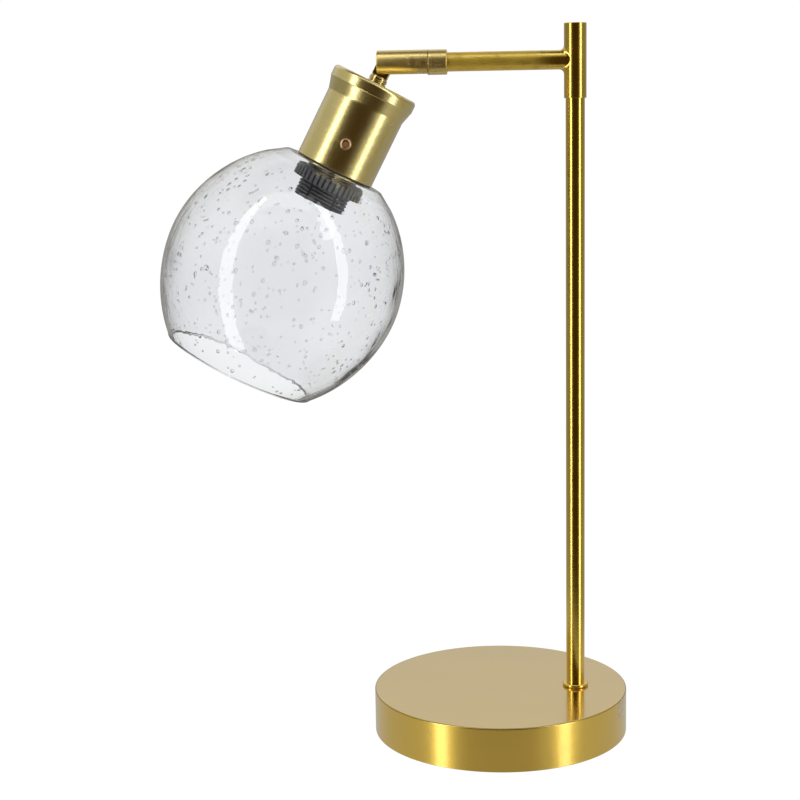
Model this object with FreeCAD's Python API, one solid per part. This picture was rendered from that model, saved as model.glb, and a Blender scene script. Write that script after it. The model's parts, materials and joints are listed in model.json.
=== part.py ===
import FreeCAD, Part
import math
import os

# Glass globe table lamp, in millimetres, +Z up.
# The origin is the centre of the base's underside. The post stands off centre at +X,
# the arm runs from the post's top towards -X, and the head hangs from the arm's end.
# -Y is the front, which the turn knob faces.

# ---------------------------------------------------------------- driving dimensions

# Base
base_radius = 100.0
base_height = 35.3
base_wall = 2.5
base_edge_rounding = 1.2
base_skirt_lift = 1.0          # shell's lower edge above the table
pad_thickness = 2.0
pad_inset = 4.0
plate_thickness = 2.0
plate_clearance = 0.3
ballast_lift = 15.8            # ballast's underside above the base plate
ballast_clearance = 1.0        # between the ballast's rim and the shell
pillar_radius = 6.0
pillar_circle = 78.0
pillar_count = 3
pillar_bearing = 30.0
plate_screw_radius = 2.0
plate_screw_head_radius = 4.0
plate_screw_length = 12.0
plate_sink_floor = 0.2         # plate left under a countersink
inlet_height = 8.0             # cord inlet's centre above the table
inlet_bore = 3.3
grommet_radius = 4.6
grommet_flange_radius = 6.2
grommet_flange = 1.2

# Post
post_inset = 40.1              # post's axis in from the base's rim
post_radius = 7.23
post_wall = 1.2
collar_radius = 10.2
collar_height = 2.7
collar_rounding = 1.215
stud_radius = 5.0
stud_bore = 2.6
foot_bush_height = 24.0
washer_radius = 11.0
washer_thickness = 1.5
nut_height = 4.5
nut_across_flats = 17.0
stud_tail = 0.5                # stud's thread showing below the nut

# Swing sleeve on the post's top
sleeve_radius = 8.45
sleeve_below_arm = 28.5        # sleeve's ends, from the arm's axis
sleeve_above_arm = 27.0
sleeve_step_wall = 2.05        # thicker wall above the post's end
sleeve_step_clearance = 1.3    # step's underside below the arm's tube
sleeve_edge_rounding = 0.5
cap_thickness = 3.0
arm_height = 524.6
neck_height = 3.0              # groove that the stop screw runs in
neck_radius = 5.6
bush_head_height = 2.5
bush_head_radius = 7.0
bush_depth = 12.0
thrust_washer_thickness = 0.5
stop_screw_radius = 1.5
stop_dog_radius = 1.2
stop_rib_half_angle = 12.0
stop_rib_root = 0.5            # how far the rib reaches into the neck
stop_screw_inset = 0.2         # screw's end inside the sleeve's face
stop_screw_thread_end = 0.4
stop_screw_hex = 1.5
stop_screw_hex_depth = 0.4

# Arm and barrels
arm_radius = 7.2
arm_wall = 1.2
arm_length = 96.1              # from the post's axis to the rear barrel
braze_radius = 3.6
barrel_radius = 9.45
barrel_edge_rounding = 0.5
rear_barrel_length = 14.0
rear_barrel_end_wall = 2.5
rear_barrel_cavity = 7.4
arm_socket_depth = 4.0
seam_gap = 0.1
front_barrel_length = 38.8
swivel_stud_radius = 4.0
swivel_stud_bore = 2.2
swivel_stud_depth = 8.0
swivel_stud_tail = 0.9
spring_washer_thickness = 1.0
swivel_nut_height = 4.0
swivel_nut_across_flats = 12.0
spring_washer_clearance = 0.5

# Tilt joint
pivot_from_barrel_end = 5.36
pivot_below_arm = 3.0
slot_half_width = 4.5
slot_depth_past_pivot = 7.84
pivot_pin_radius = 2.0
tilt_washer_thickness = 0.5
tilt_washer_radius = 5.5
rest_tilt = 27.2               # head axis from straight down, towards -X
rest_swivel = -2.5             # turn of the front barrel about the arm, towards the front

# Head: lengths along the head's axis, counted down from the tilt pivot
tongue_half_width = 6.2
tongue_half_thickness = 3.9
tongue_length = 7.9
shoulder_height = 0.7
stem_thread_radius = 5.0
stem_washer_radius = 6.9
stem_washer_thickness = 1.9
stem_collar_radius = 7.5
stem_collar_height = 3.0
stem_collar_taper = 0.3        # upper lip smaller than the lower one
stem_collar_lip = 0.6
stem_collar_waist = 1.1
cup_wall = 1.2
cup_band_radius = 33.85
cup_band_height = 8.95
cup_band_rounding = 3.0
cup_crease = 0.35
cup_cone_height = 9.75
cup_radius = 30.9
cup_height = 71.55
lock_washer_thickness = 1.2
lock_washer_radius = 9.5
cup_nut_height = 4.5
cup_nut_across_flats = 16.0

# Lampholder
holder_cap_radius = 17.0
holder_cap_wall = 2.2
holder_cap_top = 4.0
holder_cap_rounding = 2.0
holder_cap_length = 33.4
holder_overlap = 10.0
holder_wall = 2.35
thread_crest_radius = 20.5
thread_depth = 0.9
thread_pitch = 2.7
thread_crest_share = 0.3       # flat crest's part of a pitch
thread_below_cup = 30.45       # thread's end below the cup's rim
thread_start_below_cup = 1.4
thread_relief_count = 6
thread_relief_radius = 1.1
thread_relief_bearing = -24.0
holder_mouth_radius = 14.5
terminal_block_height = 9.0
terminal_screw_radius = 1.6
terminal_screw_head_radius = 2.8
terminal_screw_head_height = 1.6
terminal_screw_spread = 9.0
terminal_hole_depth = 6.3
terminal_shank_depth = 5.4
switch_body_height = 18.0
shell_insulator_height = 3.4
shell_mean_radius = 13.5
shell_wave = 0.35
shell_thickness = 0.4
shell_pitch = 3.629
shell_lip = 6.5                # shell's end above the holder's mouth
contact_width = 5.0
contact_thickness = 0.6
contact_rise = 3.2
contact_reach = 8.0
contact_bend = (-1.0, 0.2)     # where the strip leaves the insulator, across the head's axis
contact_tip = (3.0, 3.4, 7.0)  # lower bend, upper bend and end of the strip

# Turn knob
knob_radius = 4.0
knob_length = 7.0
knob_dish_radius = 2.6
knob_dish_depth = 0.9
knob_below_cup_top = 50.1
knob_bearing = 4.6             # about the head's axis, from straight front towards +X
knob_standoff = 0.5
spindle_radius = 1.6
spindle_depth = 9.0            # into the switch body
spindle_in_knob = 4.9

# Globe and what clamps it
gallery_thickness = 1.5
globe_gasket_thickness = 0.95
globe_gasket_radius = 30.3
globe_hole_radius = 21.2
globe_neck_thickness = 5.5
globe_wall = 3.0
globe_radius = 92.7
globe_rise = 100.2             # semi-axis of the upper half
globe_fall = 106.5             # semi-axis of the lower half
globe_power = 1.92             # 2 would be an ellipse
globe_neck_below_crown = 10.6  # neck's flat below the upper half's full height
globe_rim_above_foot = 28.2    # open rim above the lower half's full depth
globe_shoulder_rounding = 4.0
ring_gasket_thickness = 1.7
ring_gasket_radius = 26.5
shade_ring_radius = 27.4
shade_ring_height = 9.0
shade_ring_ribs = 40
shade_ring_flute = 1.0
shade_ring_flute_out = 0.2     # flutes' centres outside the ring's face

# Leads
lead_radius = 2.0
lead_bend = 5.2
base_lead_bend = 30.0
arm_lead_straight = 0.5
head_lead_tail = 6.0           # lead below the lampholder's top wall
lead_corner = (4.0, 42.0)      # where the base's lead turns towards the post
core_radius = 0.8
core_spread = 1.1
core_bend = 2.5

# Clearances
running_fit = 0.05
seat_gap = 0.02
lead_gap = 0.2

# ---------------------------------------------------------------- worked-out places

origin = FreeCAD.Vector(0, 0, 0)
axis_x = FreeCAD.Vector(1, 0, 0)
axis_y = FreeCAD.Vector(0, 1, 0)
axis_z = FreeCAD.Vector(0, 0, 1)

plate_bottom = pad_thickness
plate_top = plate_bottom + plate_thickness
shell_ceiling = base_height - base_wall
ballast_bottom = plate_top + ballast_lift
washer_bottom = ballast_bottom - washer_thickness
nut_bottom = washer_bottom - nut_height
stud_bottom = nut_bottom - stud_tail
foot_bush_top = base_height + foot_bush_height

post_x = base_radius - post_inset
sleeve_bottom = arm_height - sleeve_below_arm
sleeve_top = arm_height + sleeve_above_arm
step_height = arm_height - arm_radius - sleeve_step_clearance
bush_head_top = step_height - thrust_washer_thickness - running_fit
neck_top = bush_head_top - bush_head_height
post_top = neck_top - neck_height
lead_break = bush_head_top + thrust_washer_thickness
sleeve_step_radius = sleeve_radius - sleeve_step_wall

rear_barrel_right = post_x - arm_length
rear_barrel_left = rear_barrel_right - rear_barrel_length
end_wall_inside = rear_barrel_left + rear_barrel_end_wall
front_barrel_right = rear_barrel_left - seam_gap
front_barrel_left = front_barrel_right - front_barrel_length
pivot_x = front_barrel_left + pivot_from_barrel_end
pivot_height = arm_height - pivot_below_arm
slot_end = pivot_x + slot_depth_past_pivot
spring_washer_right = end_wall_inside + running_fit + spring_washer_thickness
swivel_nut_right = spring_washer_right + swivel_nut_height
stud_right = swivel_nut_right + swivel_stud_tail
stud_left = front_barrel_right - swivel_stud_depth
swivel_lead_end = pivot_x + tongue_half_width + lead_gap

shoulder_drop = tongue_length
stem_washer_drop = shoulder_drop + shoulder_height
stem_collar_drop = stem_washer_drop + stem_washer_thickness
cup_top = stem_collar_drop + stem_collar_height
cup_bottom = cup_top + cup_height
cup_inner_radius = cup_radius - cup_wall
lock_washer_drop = cup_top + cup_wall
cup_nut_drop = lock_washer_drop + lock_washer_thickness
holder_top = cup_nut_drop + cup_nut_height + lead_gap
holder_cap_bottom = holder_top + holder_cap_length
holder_skirt_top = holder_cap_bottom - holder_overlap
holder_skirt_radius = holder_cap_radius + holder_wall
terminal_block_top = holder_cap_bottom - terminal_block_height
switch_top = holder_cap_bottom + seat_gap
switch_bottom = switch_top + switch_body_height
insulator_bottom = switch_bottom + shell_insulator_height
holder_mouth = cup_bottom + thread_below_cup
thread_start = cup_bottom + thread_start_below_cup
shell_bottom = holder_mouth - shell_lip
knob_drop = cup_top + knob_below_cup_top
neck_drop = cup_bottom + globe_gasket_thickness
neck_inside = neck_drop + globe_neck_thickness
globe_neck_to_centre = globe_rise - globe_neck_below_crown
globe_centre_to_rim = globe_fall - globe_rim_above_foot
globe_centre = neck_drop + globe_neck_to_centre
ring_drop = neck_inside + ring_gasket_thickness
lead_end_drop = holder_top + holder_cap_top + head_lead_tail


# ---------------------------------------------------------------- shape helpers

def vector(x, y, z):
    return FreeCAD.Vector(x, y, z)


def rod(radius, low, high):
    """Solid cylinder on the Z axis."""
    return Part.makeCylinder(radius, high - low, vector(0, 0, low))


def ring(outer, inner, low, high):
    """Tube on the Z axis."""
    return rod(outer, low, high).cut(rod(inner, low - 1, high + 1))


def turned(points):
    """Solid of revolution about Z of a closed outline of (radius, height) points."""
    corners = [vector(radius, 0, height) for radius, height in points]
    outline = Part.makePolygon(corners + corners[:1])
    return Part.Face(outline).revolve(origin, axis_z, 360)


def hexagon(across_flats, low, high, bore):
    """Hexagonal nut on the Z axis."""
    corner = across_flats / math.sqrt(3)
    corners = []
    for index in range(6):
        angle = math.radians(60 * index)
        corners.append(vector(corner * math.cos(angle), corner * math.sin(angle), low))
    blank = Part.Face(Part.makePolygon(corners + corners[:1])).extrude(vector(0, 0, high - low))
    return blank.cut(rod(bore, low - 1, high + 1))


def round_edges(shape, radius, height, size):
    """Rounds the circular edges on the Z axis that have this height and radius."""
    chosen = []
    for edge in shape.Edges:
        curve = edge.Curve
        if isinstance(curve, Part.Circle) and abs(curve.Radius - radius) < 1e-4:
            if abs(edge.Vertexes[0].Z - height) < 1e-4:
                chosen.append(edge)
    return shape.makeFillet(size, chosen)


def fused(shapes):
    """One solid out of shapes that overlap or touch."""
    whole = shapes[0]
    for shape in shapes[1:]:
        whole = whole.fuse(shape)
    return whole.removeSplitter()


def tube_along(points, radii, radius):
    """Round cable along straight runs that are joined by tangent arcs, one at each inner point."""
    edges = []
    start = points[0]
    for index in range(1, len(points) - 1):
        corner = points[index]
        back = (points[index - 1] - corner).normalize()
        ahead = (points[index + 1] - corner).normalize()
        half_turn = (math.pi - back.getAngle(ahead)) / 2
        reach = radii[index - 1] * math.tan(half_turn)
        first = corner + back * reach
        last = corner + ahead * reach
        middle_way = (back + ahead).normalize()
        centre_distance = radii[index - 1] / math.cos(half_turn)
        middle = corner + middle_way * (centre_distance - radii[index - 1])
        edges.append(Part.LineSegment(start, first).toShape())
        edges.append(Part.Arc(first, middle, last).toShape())
        start = last
    edges.append(Part.LineSegment(start, points[-1]).toShape())
    path = Part.Wire(edges)
    section = Part.Wire([Part.makeCircle(radius, points[0], points[1] - points[0])])
    return path.makePipeShell([section], True, False)


def on_post(shape):
    """Moves a shape made on the Z axis to the post's axis."""
    moved = shape.copy()
    moved.translate(vector(post_x, 0, 0))
    return moved


def along_arm(shape):
    """Turns a shape made on the Z axis so that its height runs along +X on the arm's axis."""
    moved = shape.copy()
    moved.rotate(origin, axis_y, 90)
    moved.translate(vector(0, 0, arm_height))
    return moved


def swivelled(shape):
    """Turns a shape about the arm's axis to the swivel's rest position."""
    moved = shape.copy()
    moved.rotate(vector(0, 0, arm_height), axis_x, rest_swivel)
    return moved


def on_head(shape):
    """Places a shape made about the pivot, with the head's axis along -Z, at its rest tilt."""
    moved = shape.copy()
    moved.rotate(origin, axis_y, rest_tilt)
    moved.translate(vector(pivot_x, 0, pivot_height))
    return swivelled(moved)


def drop_ring(outer, inner, top, bottom):
    """Tube on the head's axis between two drops below the pivot."""
    return ring(outer, inner, -bottom, -top)


def drop_rod(radius, top, bottom):
    return rod(radius, -bottom, -top)


def knob_rod(radius, near, far):
    """Cylinder on the knob's axis, between two distances from the head's axis."""
    angle = math.radians(knob_bearing)
    way = vector(math.sin(angle), -math.cos(angle), 0)
    return Part.makeCylinder(radius, far - near, way * near + vector(0, 0, -knob_drop), way)


def globe_half_width(height, shrink):
    """Radius of the globe at a height above its centre, on a surface that lies inside by shrink."""
    reach = (globe_rise if height > 0 else globe_fall) - shrink
    share = 1 - (abs(height) / reach) ** globe_power
    return (globe_radius - shrink) * share ** (1 / globe_power)


# ---------------------------------------------------------------- base

def plate_holes(radius, low, high):
    """Rods at the plate screws' places."""
    rods = []
    for index in range(pillar_count):
        angle = math.radians(pillar_bearing + 360 * index / pillar_count)
        place = vector(pillar_circle * math.cos(angle), pillar_circle * math.sin(angle), 0)
        shape = rod(radius, low, high)
        shape.translate(place)
        rods.append(shape)
    return rods


def base_shell():
    inner = base_radius - base_wall
    body = rod(base_radius, base_skirt_lift, base_height)
    body = round_edges(body, base_radius, base_height, base_edge_rounding)
    body = body.cut(rod(inner, base_skirt_lift - 1, shell_ceiling))
    body = body.cut(on_post(rod(stud_radius + running_fit, shell_ceiling - 1, base_height + 1)))
    start = vector(0, inner - base_wall, inlet_height)
    inlet = Part.makeCylinder(grommet_radius, 4 * base_wall, start, axis_y)
    return body.cut(inlet)


def ballast_weight():
    rim = base_radius - base_wall - ballast_clearance
    body = rod(rim, ballast_bottom, shell_ceiling)
    body = fused([body] + plate_holes(pillar_radius, plate_top, ballast_bottom + 1))
    body = body.cut(on_post(rod(stud_radius + running_fit, ballast_bottom - 1, base_height)))
    screw_top = plate_bottom + plate_screw_length
    for hole in plate_holes(plate_screw_radius + seat_gap, plate_top - 1, screw_top + 1):
        body = body.cut(hole)
    return body


def base_plate():
    body = rod(base_radius - base_wall - plate_clearance, plate_bottom, plate_top)
    for sink in plate_cones(seat_gap):
        body = body.cut(sink)
    for hole in plate_holes(plate_screw_radius + seat_gap, plate_bottom - 1, plate_top + 1):
        body = body.cut(hole)
    return body


def plate_cones(growth):
    """Countersunk heads of the plate screws, or the sinks for them."""
    depth = plate_screw_head_radius - plate_screw_radius
    depth = min(depth, plate_thickness - plate_sink_floor)
    cones = []
    for index in range(pillar_count):
        angle = math.radians(pillar_bearing + 360 * index / pillar_count)
        place = vector(pillar_circle * math.cos(angle), pillar_circle * math.sin(angle), plate_bottom)
        low, high = plate_screw_head_radius + growth, plate_screw_radius + growth
        cones.append(Part.makeCone(low, high, depth, place))
    return cones


def plate_screws():
    shanks = plate_holes(plate_screw_radius, plate_bottom, plate_bottom + plate_screw_length)
    screws = [shank.fuse(head).removeSplitter() for shank, head in zip(shanks, plate_cones(0))]
    return Part.makeCompound(screws)


def base_pad():
    return rod(base_radius - pad_inset, 0, pad_thickness)


def cord_grommet():
    """Flanged bush in the base's rear wall that the supply cord passes through."""
    inside = base_radius - base_wall
    bush = ring(grommet_radius - seat_gap, inlet_bore, inside, base_radius)
    rim = ring(grommet_flange_radius, inlet_bore, base_radius, base_radius + grommet_flange)
    shape = fused([bush, rim])
    shape.rotate(origin, axis_x, -90)
    shape.translate(vector(0, 0, inlet_height))
    return shape


# ---------------------------------------------------------------- post

def post_tube():
    return on_post(ring(post_radius, post_radius - post_wall, base_height, post_top))


def post_collar():
    body = ring(collar_radius, post_radius + running_fit, base_height, base_height + collar_height)
    body = round_edges(body, collar_radius, base_height + collar_height, collar_rounding)
    return on_post(round_edges(body, collar_radius, base_height, collar_rounding))


def post_stud():
    return on_post(ring(stud_radius, stud_bore, stud_bottom, foot_bush_top))


def post_foot_bush():
    outer = post_radius - post_wall - seat_gap
    return on_post(ring(outer, stud_radius + seat_gap, base_height, foot_bush_top))


def post_washer():
    return on_post(ring(washer_radius, stud_radius + running_fit, washer_bottom, ballast_bottom))


def post_nut():
    return on_post(hexagon(nut_across_flats, nut_bottom, washer_bottom, stud_radius + seat_gap))


def post_head_bush():
    """Plug in the post's top, with the groove and the rib that limit the arm's swing."""
    inside = post_radius - post_wall - seat_gap
    body = turned([
        (stud_bore, post_top - bush_depth),
        (inside, post_top - bush_depth),
        (inside, post_top),
        (neck_radius, post_top),
        (neck_radius, neck_top),
        (bush_head_radius, neck_top),
        (bush_head_radius, bush_head_top),
        (stud_bore, bush_head_top),
    ])
    sector = Part.makeCylinder(bush_head_radius, neck_height, vector(0, 0, post_top), axis_z,
                               2 * stop_rib_half_angle)
    sector.rotate(origin, axis_z, -90 - stop_rib_half_angle)
    rib = sector.cut(rod(neck_radius - stop_rib_root, post_top - 1, neck_top + 1))
    return on_post(fused([body, rib]))


def thrust_washer():
    return on_post(ring(bush_head_radius, stud_bore, bush_head_top, lead_break))


def base_lead():
    """Supply lead from the grommet, across the base and up the post to the swing joint."""
    start = base_radius - base_wall - lead_gap
    points = [
        vector(0, start, inlet_height),
        vector(lead_corner[0], lead_corner[1], inlet_height),
        vector(post_x, 0, inlet_height),
        vector(post_x, 0, lead_break),
    ]
    return tube_along(points, [base_lead_bend, lead_bend], lead_radius)


# ---------------------------------------------------------------- arm

def arm_axis_rod(radius, low, high):
    return along_arm(rod(radius, low, high))


def sleeve_blank():
    body = rod(sleeve_radius, sleeve_bottom, sleeve_top)
    return on_post(round_edges(body, sleeve_radius, sleeve_top, sleeve_edge_rounding))


def arm_blank():
    return arm_axis_rod(arm_radius, rear_barrel_right - arm_socket_depth, post_x)


def arm_sleeve():
    body = sleeve_blank()
    body = body.cut(on_post(rod(post_radius + running_fit, sleeve_bottom - 1, step_height)))
    body = body.cut(on_post(rod(sleeve_step_radius, step_height - 1, sleeve_top + 1)))
    body = body.cut(arm_axis_rod(arm_radius - arm_wall, post_x - 2 * sleeve_radius, post_x))
    height = (post_top + neck_top) / 2
    hole = Part.makeCylinder(stop_screw_radius, 2 * sleeve_radius, vector(post_x, 0, height), axis_y)
    return body.cut(hole)


def sleeve_cap():
    radius = sleeve_step_radius - seat_gap
    return on_post(rod(radius, sleeve_top - cap_thickness, sleeve_top))


def sleeve_stop_screw():
    """Dog-point screw through the sleeve's back, whose tip runs in the bush's groove."""
    sleeve_bore = post_radius + running_fit
    tip = neck_radius + 3 * running_fit
    outer = sleeve_radius - stop_screw_inset
    screw = rod(stop_screw_radius - seat_gap, sleeve_bore + running_fit, outer)
    screw = screw.fuse(rod(stop_dog_radius, tip, outer - stop_screw_thread_end)).removeSplitter()
    socket = hexagon(stop_screw_hex, outer - stop_screw_inset - stop_screw_hex_depth, outer + 1, 0.01)
    screw = screw.cut(socket)
    screw.rotate(origin, axis_x, -90)
    screw.translate(vector(post_x, 0, (post_top + neck_top) / 2))
    return screw


def arm_tube():
    body = arm_blank()
    start = rear_barrel_right - 2 * arm_socket_depth
    body = body.cut(arm_axis_rod(arm_radius - arm_wall, start, post_x + 1))
    return body.cut(on_post(rod(sleeve_radius, sleeve_bottom, sleeve_top)))


def arm_braze():
    """Filler metal in the corner between the sleeve and the arm's tube."""
    joint = sleeve_blank().fuse(arm_blank()).removeSplitter()
    corner = []
    for edge in joint.Edges:
        box = edge.BoundBox
        between = box.XMin > post_x - sleeve_radius - 1 and box.XMax < post_x + 1
        if between and box.ZMin > arm_height - arm_radius - 1 and box.ZMax < arm_height + arm_radius + 1:
            corner.append(edge)
    rounded = joint.makeFillet(braze_radius, corner)
    return rounded.cut(joint).Solids[0]


def rear_barrel():
    """Barrel soldered on the arm's end, with the cavity for the swivel's nut."""
    body = rod(barrel_radius, rear_barrel_left, rear_barrel_right)
    body = round_edges(body, barrel_radius, rear_barrel_right, barrel_edge_rounding)
    body = body.cut(rod(swivel_stud_radius + running_fit, rear_barrel_left - 1, rear_barrel_right))
    cavity_end = rear_barrel_right - arm_socket_depth
    body = body.cut(rod(rear_barrel_cavity, end_wall_inside, cavity_end))
    body = body.cut(rod(arm_radius + seat_gap, cavity_end - 1, rear_barrel_right + 1))
    return along_arm(body)


def arm_lead():
    """Lead from the post's top round into the arm and on to the swivel stud."""
    points = [
        vector(post_x, 0, lead_break),
        vector(post_x, 0, arm_height),
        vector(stud_right, 0, arm_height),
    ]
    return tube_along(points, [arm_height - lead_break - arm_lead_straight], lead_radius)


# ---------------------------------------------------------------- swivel

def front_barrel():
    """Barrel that turns on the arm's end, slotted from below for the head's tongue."""
    body = rod(barrel_radius, front_barrel_left, front_barrel_right)
    body = round_edges(body, barrel_radius, front_barrel_left, barrel_edge_rounding)
    body = body.cut(rod(swivel_stud_radius + seat_gap, stud_left, front_barrel_right + 1))
    body = body.cut(rod(swivel_stud_bore, slot_end - 1, stud_left + 1))
    body = along_arm(body)
    ceiling = pivot_height + tongue_half_width + 6 * running_fit
    floor = arm_height - 2 * barrel_radius
    length = slot_end - front_barrel_left + barrel_radius
    slot = Part.makeBox(length, 2 * slot_half_width, ceiling - floor,
                        vector(slot_end - length, -slot_half_width, floor))
    body = body.cut(slot)
    bore = pivot_rod(pivot_pin_radius + seat_gap, -barrel_radius - 1, barrel_radius + 1)
    return swivelled(body.cut(bore))


def pivot_rod(radius, low, high):
    """Cylinder on the tilt pivot, between two places along Y."""
    return Part.makeCylinder(radius, high - low, vector(pivot_x, low, pivot_height), axis_y)


def pivot_rivets():
    """Two half pins through the cheeks, dressed flush, that leave the middle free for the lead."""
    envelope = arm_axis_rod(barrel_radius, front_barrel_left, front_barrel_right)
    tip = swivel_stud_bore + lead_gap
    pins = []
    for low, high in ((-barrel_radius, -tip), (tip, barrel_radius)):
        pins.append(swivelled(pivot_rod(pivot_pin_radius, low, high).common(envelope)))
    return Part.makeCompound(pins)


def tilt_washers():
    """Friction washers between the cheeks and the tongue."""
    room = slot_half_width - tongue_half_thickness
    offset = tongue_half_thickness + (room - tilt_washer_thickness) / 2
    washers = []
    for low in (-offset - tilt_washer_thickness, offset):
        high = low + tilt_washer_thickness
        washer = pivot_rod(tilt_washer_radius, low, high)
        washer = washer.cut(pivot_rod(pivot_pin_radius + seat_gap, low - 1, high + 1))
        washers.append(swivelled(washer))
    return Part.makeCompound(washers)


def swivel_stud():
    return swivelled(along_arm(ring(swivel_stud_radius, swivel_stud_bore, stud_left, stud_right)))


def swivel_washer():
    outer = rear_barrel_cavity - spring_washer_clearance
    low = end_wall_inside + running_fit
    return swivelled(along_arm(ring(outer, swivel_stud_radius + seat_gap, low, spring_washer_right)))


def swivel_nut():
    bore = swivel_stud_radius + seat_gap
    nut = hexagon(swivel_nut_across_flats, spring_washer_right, swivel_nut_right, bore)
    return swivelled(along_arm(nut))


def swivel_lead():
    return swivelled(arm_axis_rod(lead_radius, swivel_lead_end, stud_right))


# ---------------------------------------------------------------- head: stem and cup

def head_tongue():
    """Flat tongue with a round top in the barrel's slot, and the threaded stem below it."""
    blade = Part.makeBox(2 * tongue_half_width, 2 * tongue_half_thickness, tongue_length,
                         vector(-tongue_half_width, -tongue_half_thickness, -tongue_length))
    eye = Part.makeCylinder(tongue_half_width, 2 * tongue_half_thickness,
                            vector(0, -tongue_half_thickness, 0), axis_y)
    shoulder = drop_rod(tongue_half_width, shoulder_drop, stem_washer_drop)
    thread = drop_rod(stem_thread_radius, stem_washer_drop, holder_top + holder_cap_top)
    body = fused([blade, eye, shoulder, thread])
    body = body.cut(rod(swivel_stud_bore, -holder_top - 2 * holder_cap_top, 2 * tongue_half_width))
    pin = Part.makeCylinder(pivot_pin_radius + running_fit, 4 * tongue_half_thickness,
                            vector(0, -2 * tongue_half_thickness, 0), axis_y)
    return on_head(body.cut(pin))


def stem_washer():
    bore = stem_thread_radius + seat_gap
    return on_head(drop_ring(stem_washer_radius, bore, stem_washer_drop, stem_collar_drop))


def stem_collar():
    """Small brass collar on top of the cup, waisted at its middle."""
    bore = stem_thread_radius + seat_gap
    upper = stem_collar_radius - stem_collar_taper
    waist = stem_collar_radius - stem_collar_waist
    middle = (stem_collar_drop + cup_top) / 2
    return on_head(turned([
        (bore, -stem_collar_drop),
        (upper, -stem_collar_drop),
        (upper, -stem_collar_drop - stem_collar_lip),
        (waist, -middle),
        (stem_collar_radius, -cup_top + stem_collar_lip),
        (stem_collar_radius, -cup_top),
        (bore, -cup_top),
    ]))


def cup_outline(shrink, top, bottom):
    """Outer corners of the cup, or of its hollow when shrunk by the wall."""
    band_bottom = cup_top + cup_band_height
    return [
        (0, -top),
        (cup_band_radius - shrink, -top),
        (cup_band_radius - shrink, -band_bottom),
        (cup_band_radius - shrink - cup_crease, -band_bottom - cup_crease),
        (cup_radius - shrink, -cup_top - cup_band_height - cup_cone_height),
        (cup_radius - shrink, -bottom),
        (0, -bottom),
    ]


def cup_shell():
    body = turned(cup_outline(0, cup_top, cup_bottom))
    body = round_edges(body, cup_band_radius, -cup_top, cup_band_rounding)
    hollow = turned(cup_outline(cup_wall, cup_top + cup_wall, cup_bottom + 1))
    rounding = cup_band_rounding - cup_wall
    hollow = round_edges(hollow, cup_band_radius - cup_wall, -cup_top - cup_wall, rounding)
    body = body.cut(hollow)
    body = body.cut(drop_rod(stem_thread_radius + running_fit, cup_top - 1, cup_top + 2 * cup_wall))
    return on_head(body.cut(knob_rod(spindle_radius + 6 * running_fit, holder_cap_radius, 2 * cup_radius)))


def cup_lock_washer():
    bore = stem_thread_radius + seat_gap
    return on_head(drop_ring(lock_washer_radius, bore, lock_washer_drop, cup_nut_drop))


def cup_nut():
    bore = stem_thread_radius + seat_gap
    bottom = cup_nut_drop + cup_nut_height
    return on_head(hexagon(cup_nut_across_flats, -bottom, -cup_nut_drop, bore))


def gallery_disc():
    """Pressed disc flush with the cup's rim, which centres the lampholder."""
    inner = holder_skirt_radius + running_fit
    outer = cup_inner_radius - seat_gap
    return on_head(drop_ring(outer, inner, cup_bottom - gallery_thickness, cup_bottom))


# ---------------------------------------------------------------- head: lampholder

def holder_cap():
    body = drop_rod(holder_cap_radius, holder_top, holder_cap_bottom)
    body = round_edges(body, holder_cap_radius, -holder_top, holder_cap_rounding)
    inner = holder_cap_radius - holder_cap_wall
    body = body.cut(drop_rod(inner, holder_top + holder_cap_top, holder_cap_bottom + 1))
    return on_head(body.cut(drop_rod(stem_thread_radius + seat_gap, holder_top - 1, holder_cap_bottom)))


def thread_outline(top, bottom):
    """Crests and roots of the outer thread, one pair for each pitch that fits."""
    count = int((bottom - top) / thread_pitch)
    step = (bottom - top) / count
    root = thread_crest_radius - thread_depth
    flank = step * (1 - thread_crest_share) / 2
    points = [(root, -top)]
    for index in range(count):
        start = top + index * step
        points.append((thread_crest_radius, -start - flank))
        points.append((thread_crest_radius, -start - step + flank))
        points.append((root, -start - step))
    return points


def holder_skirt():
    """Outer body of the lampholder, threaded at its lower end for the shade ring."""
    socket = holder_cap_radius + seat_gap
    outline = [
        (socket, -holder_skirt_top),
        (holder_skirt_radius, -holder_skirt_top),
        (holder_skirt_radius, -thread_start),
    ]
    outline = outline + thread_outline(thread_start, holder_mouth)
    outline = outline + [
        (holder_mouth_radius, -holder_mouth),
        (holder_mouth_radius, -switch_bottom),
        (socket, -switch_bottom),
    ]
    body = turned(outline)
    for index in range(thread_relief_count):
        angle = math.radians(thread_relief_bearing + 360 * index / thread_relief_count)
        place = vector(math.sin(angle), -math.cos(angle), 0) * thread_crest_radius
        relief = drop_rod(thread_relief_radius, thread_start + shade_ring_height, holder_mouth + 1)
        relief.translate(place)
        body = body.cut(relief)
    return on_head(body.cut(knob_rod(spindle_radius + 6 * running_fit, 0, cup_radius)))


def terminal_block():
    radius = holder_cap_radius - holder_cap_wall - seat_gap
    body = drop_rod(radius, terminal_block_top, holder_cap_bottom)
    bottom = terminal_block_top + terminal_hole_depth
    for side in (-1, 1):
        hole = drop_rod(terminal_screw_radius + seat_gap, terminal_block_top - 1, bottom)
        hole.translate(vector(side * terminal_screw_spread, 0, 0))
        body = body.cut(hole)
    return on_head(body)


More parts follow.
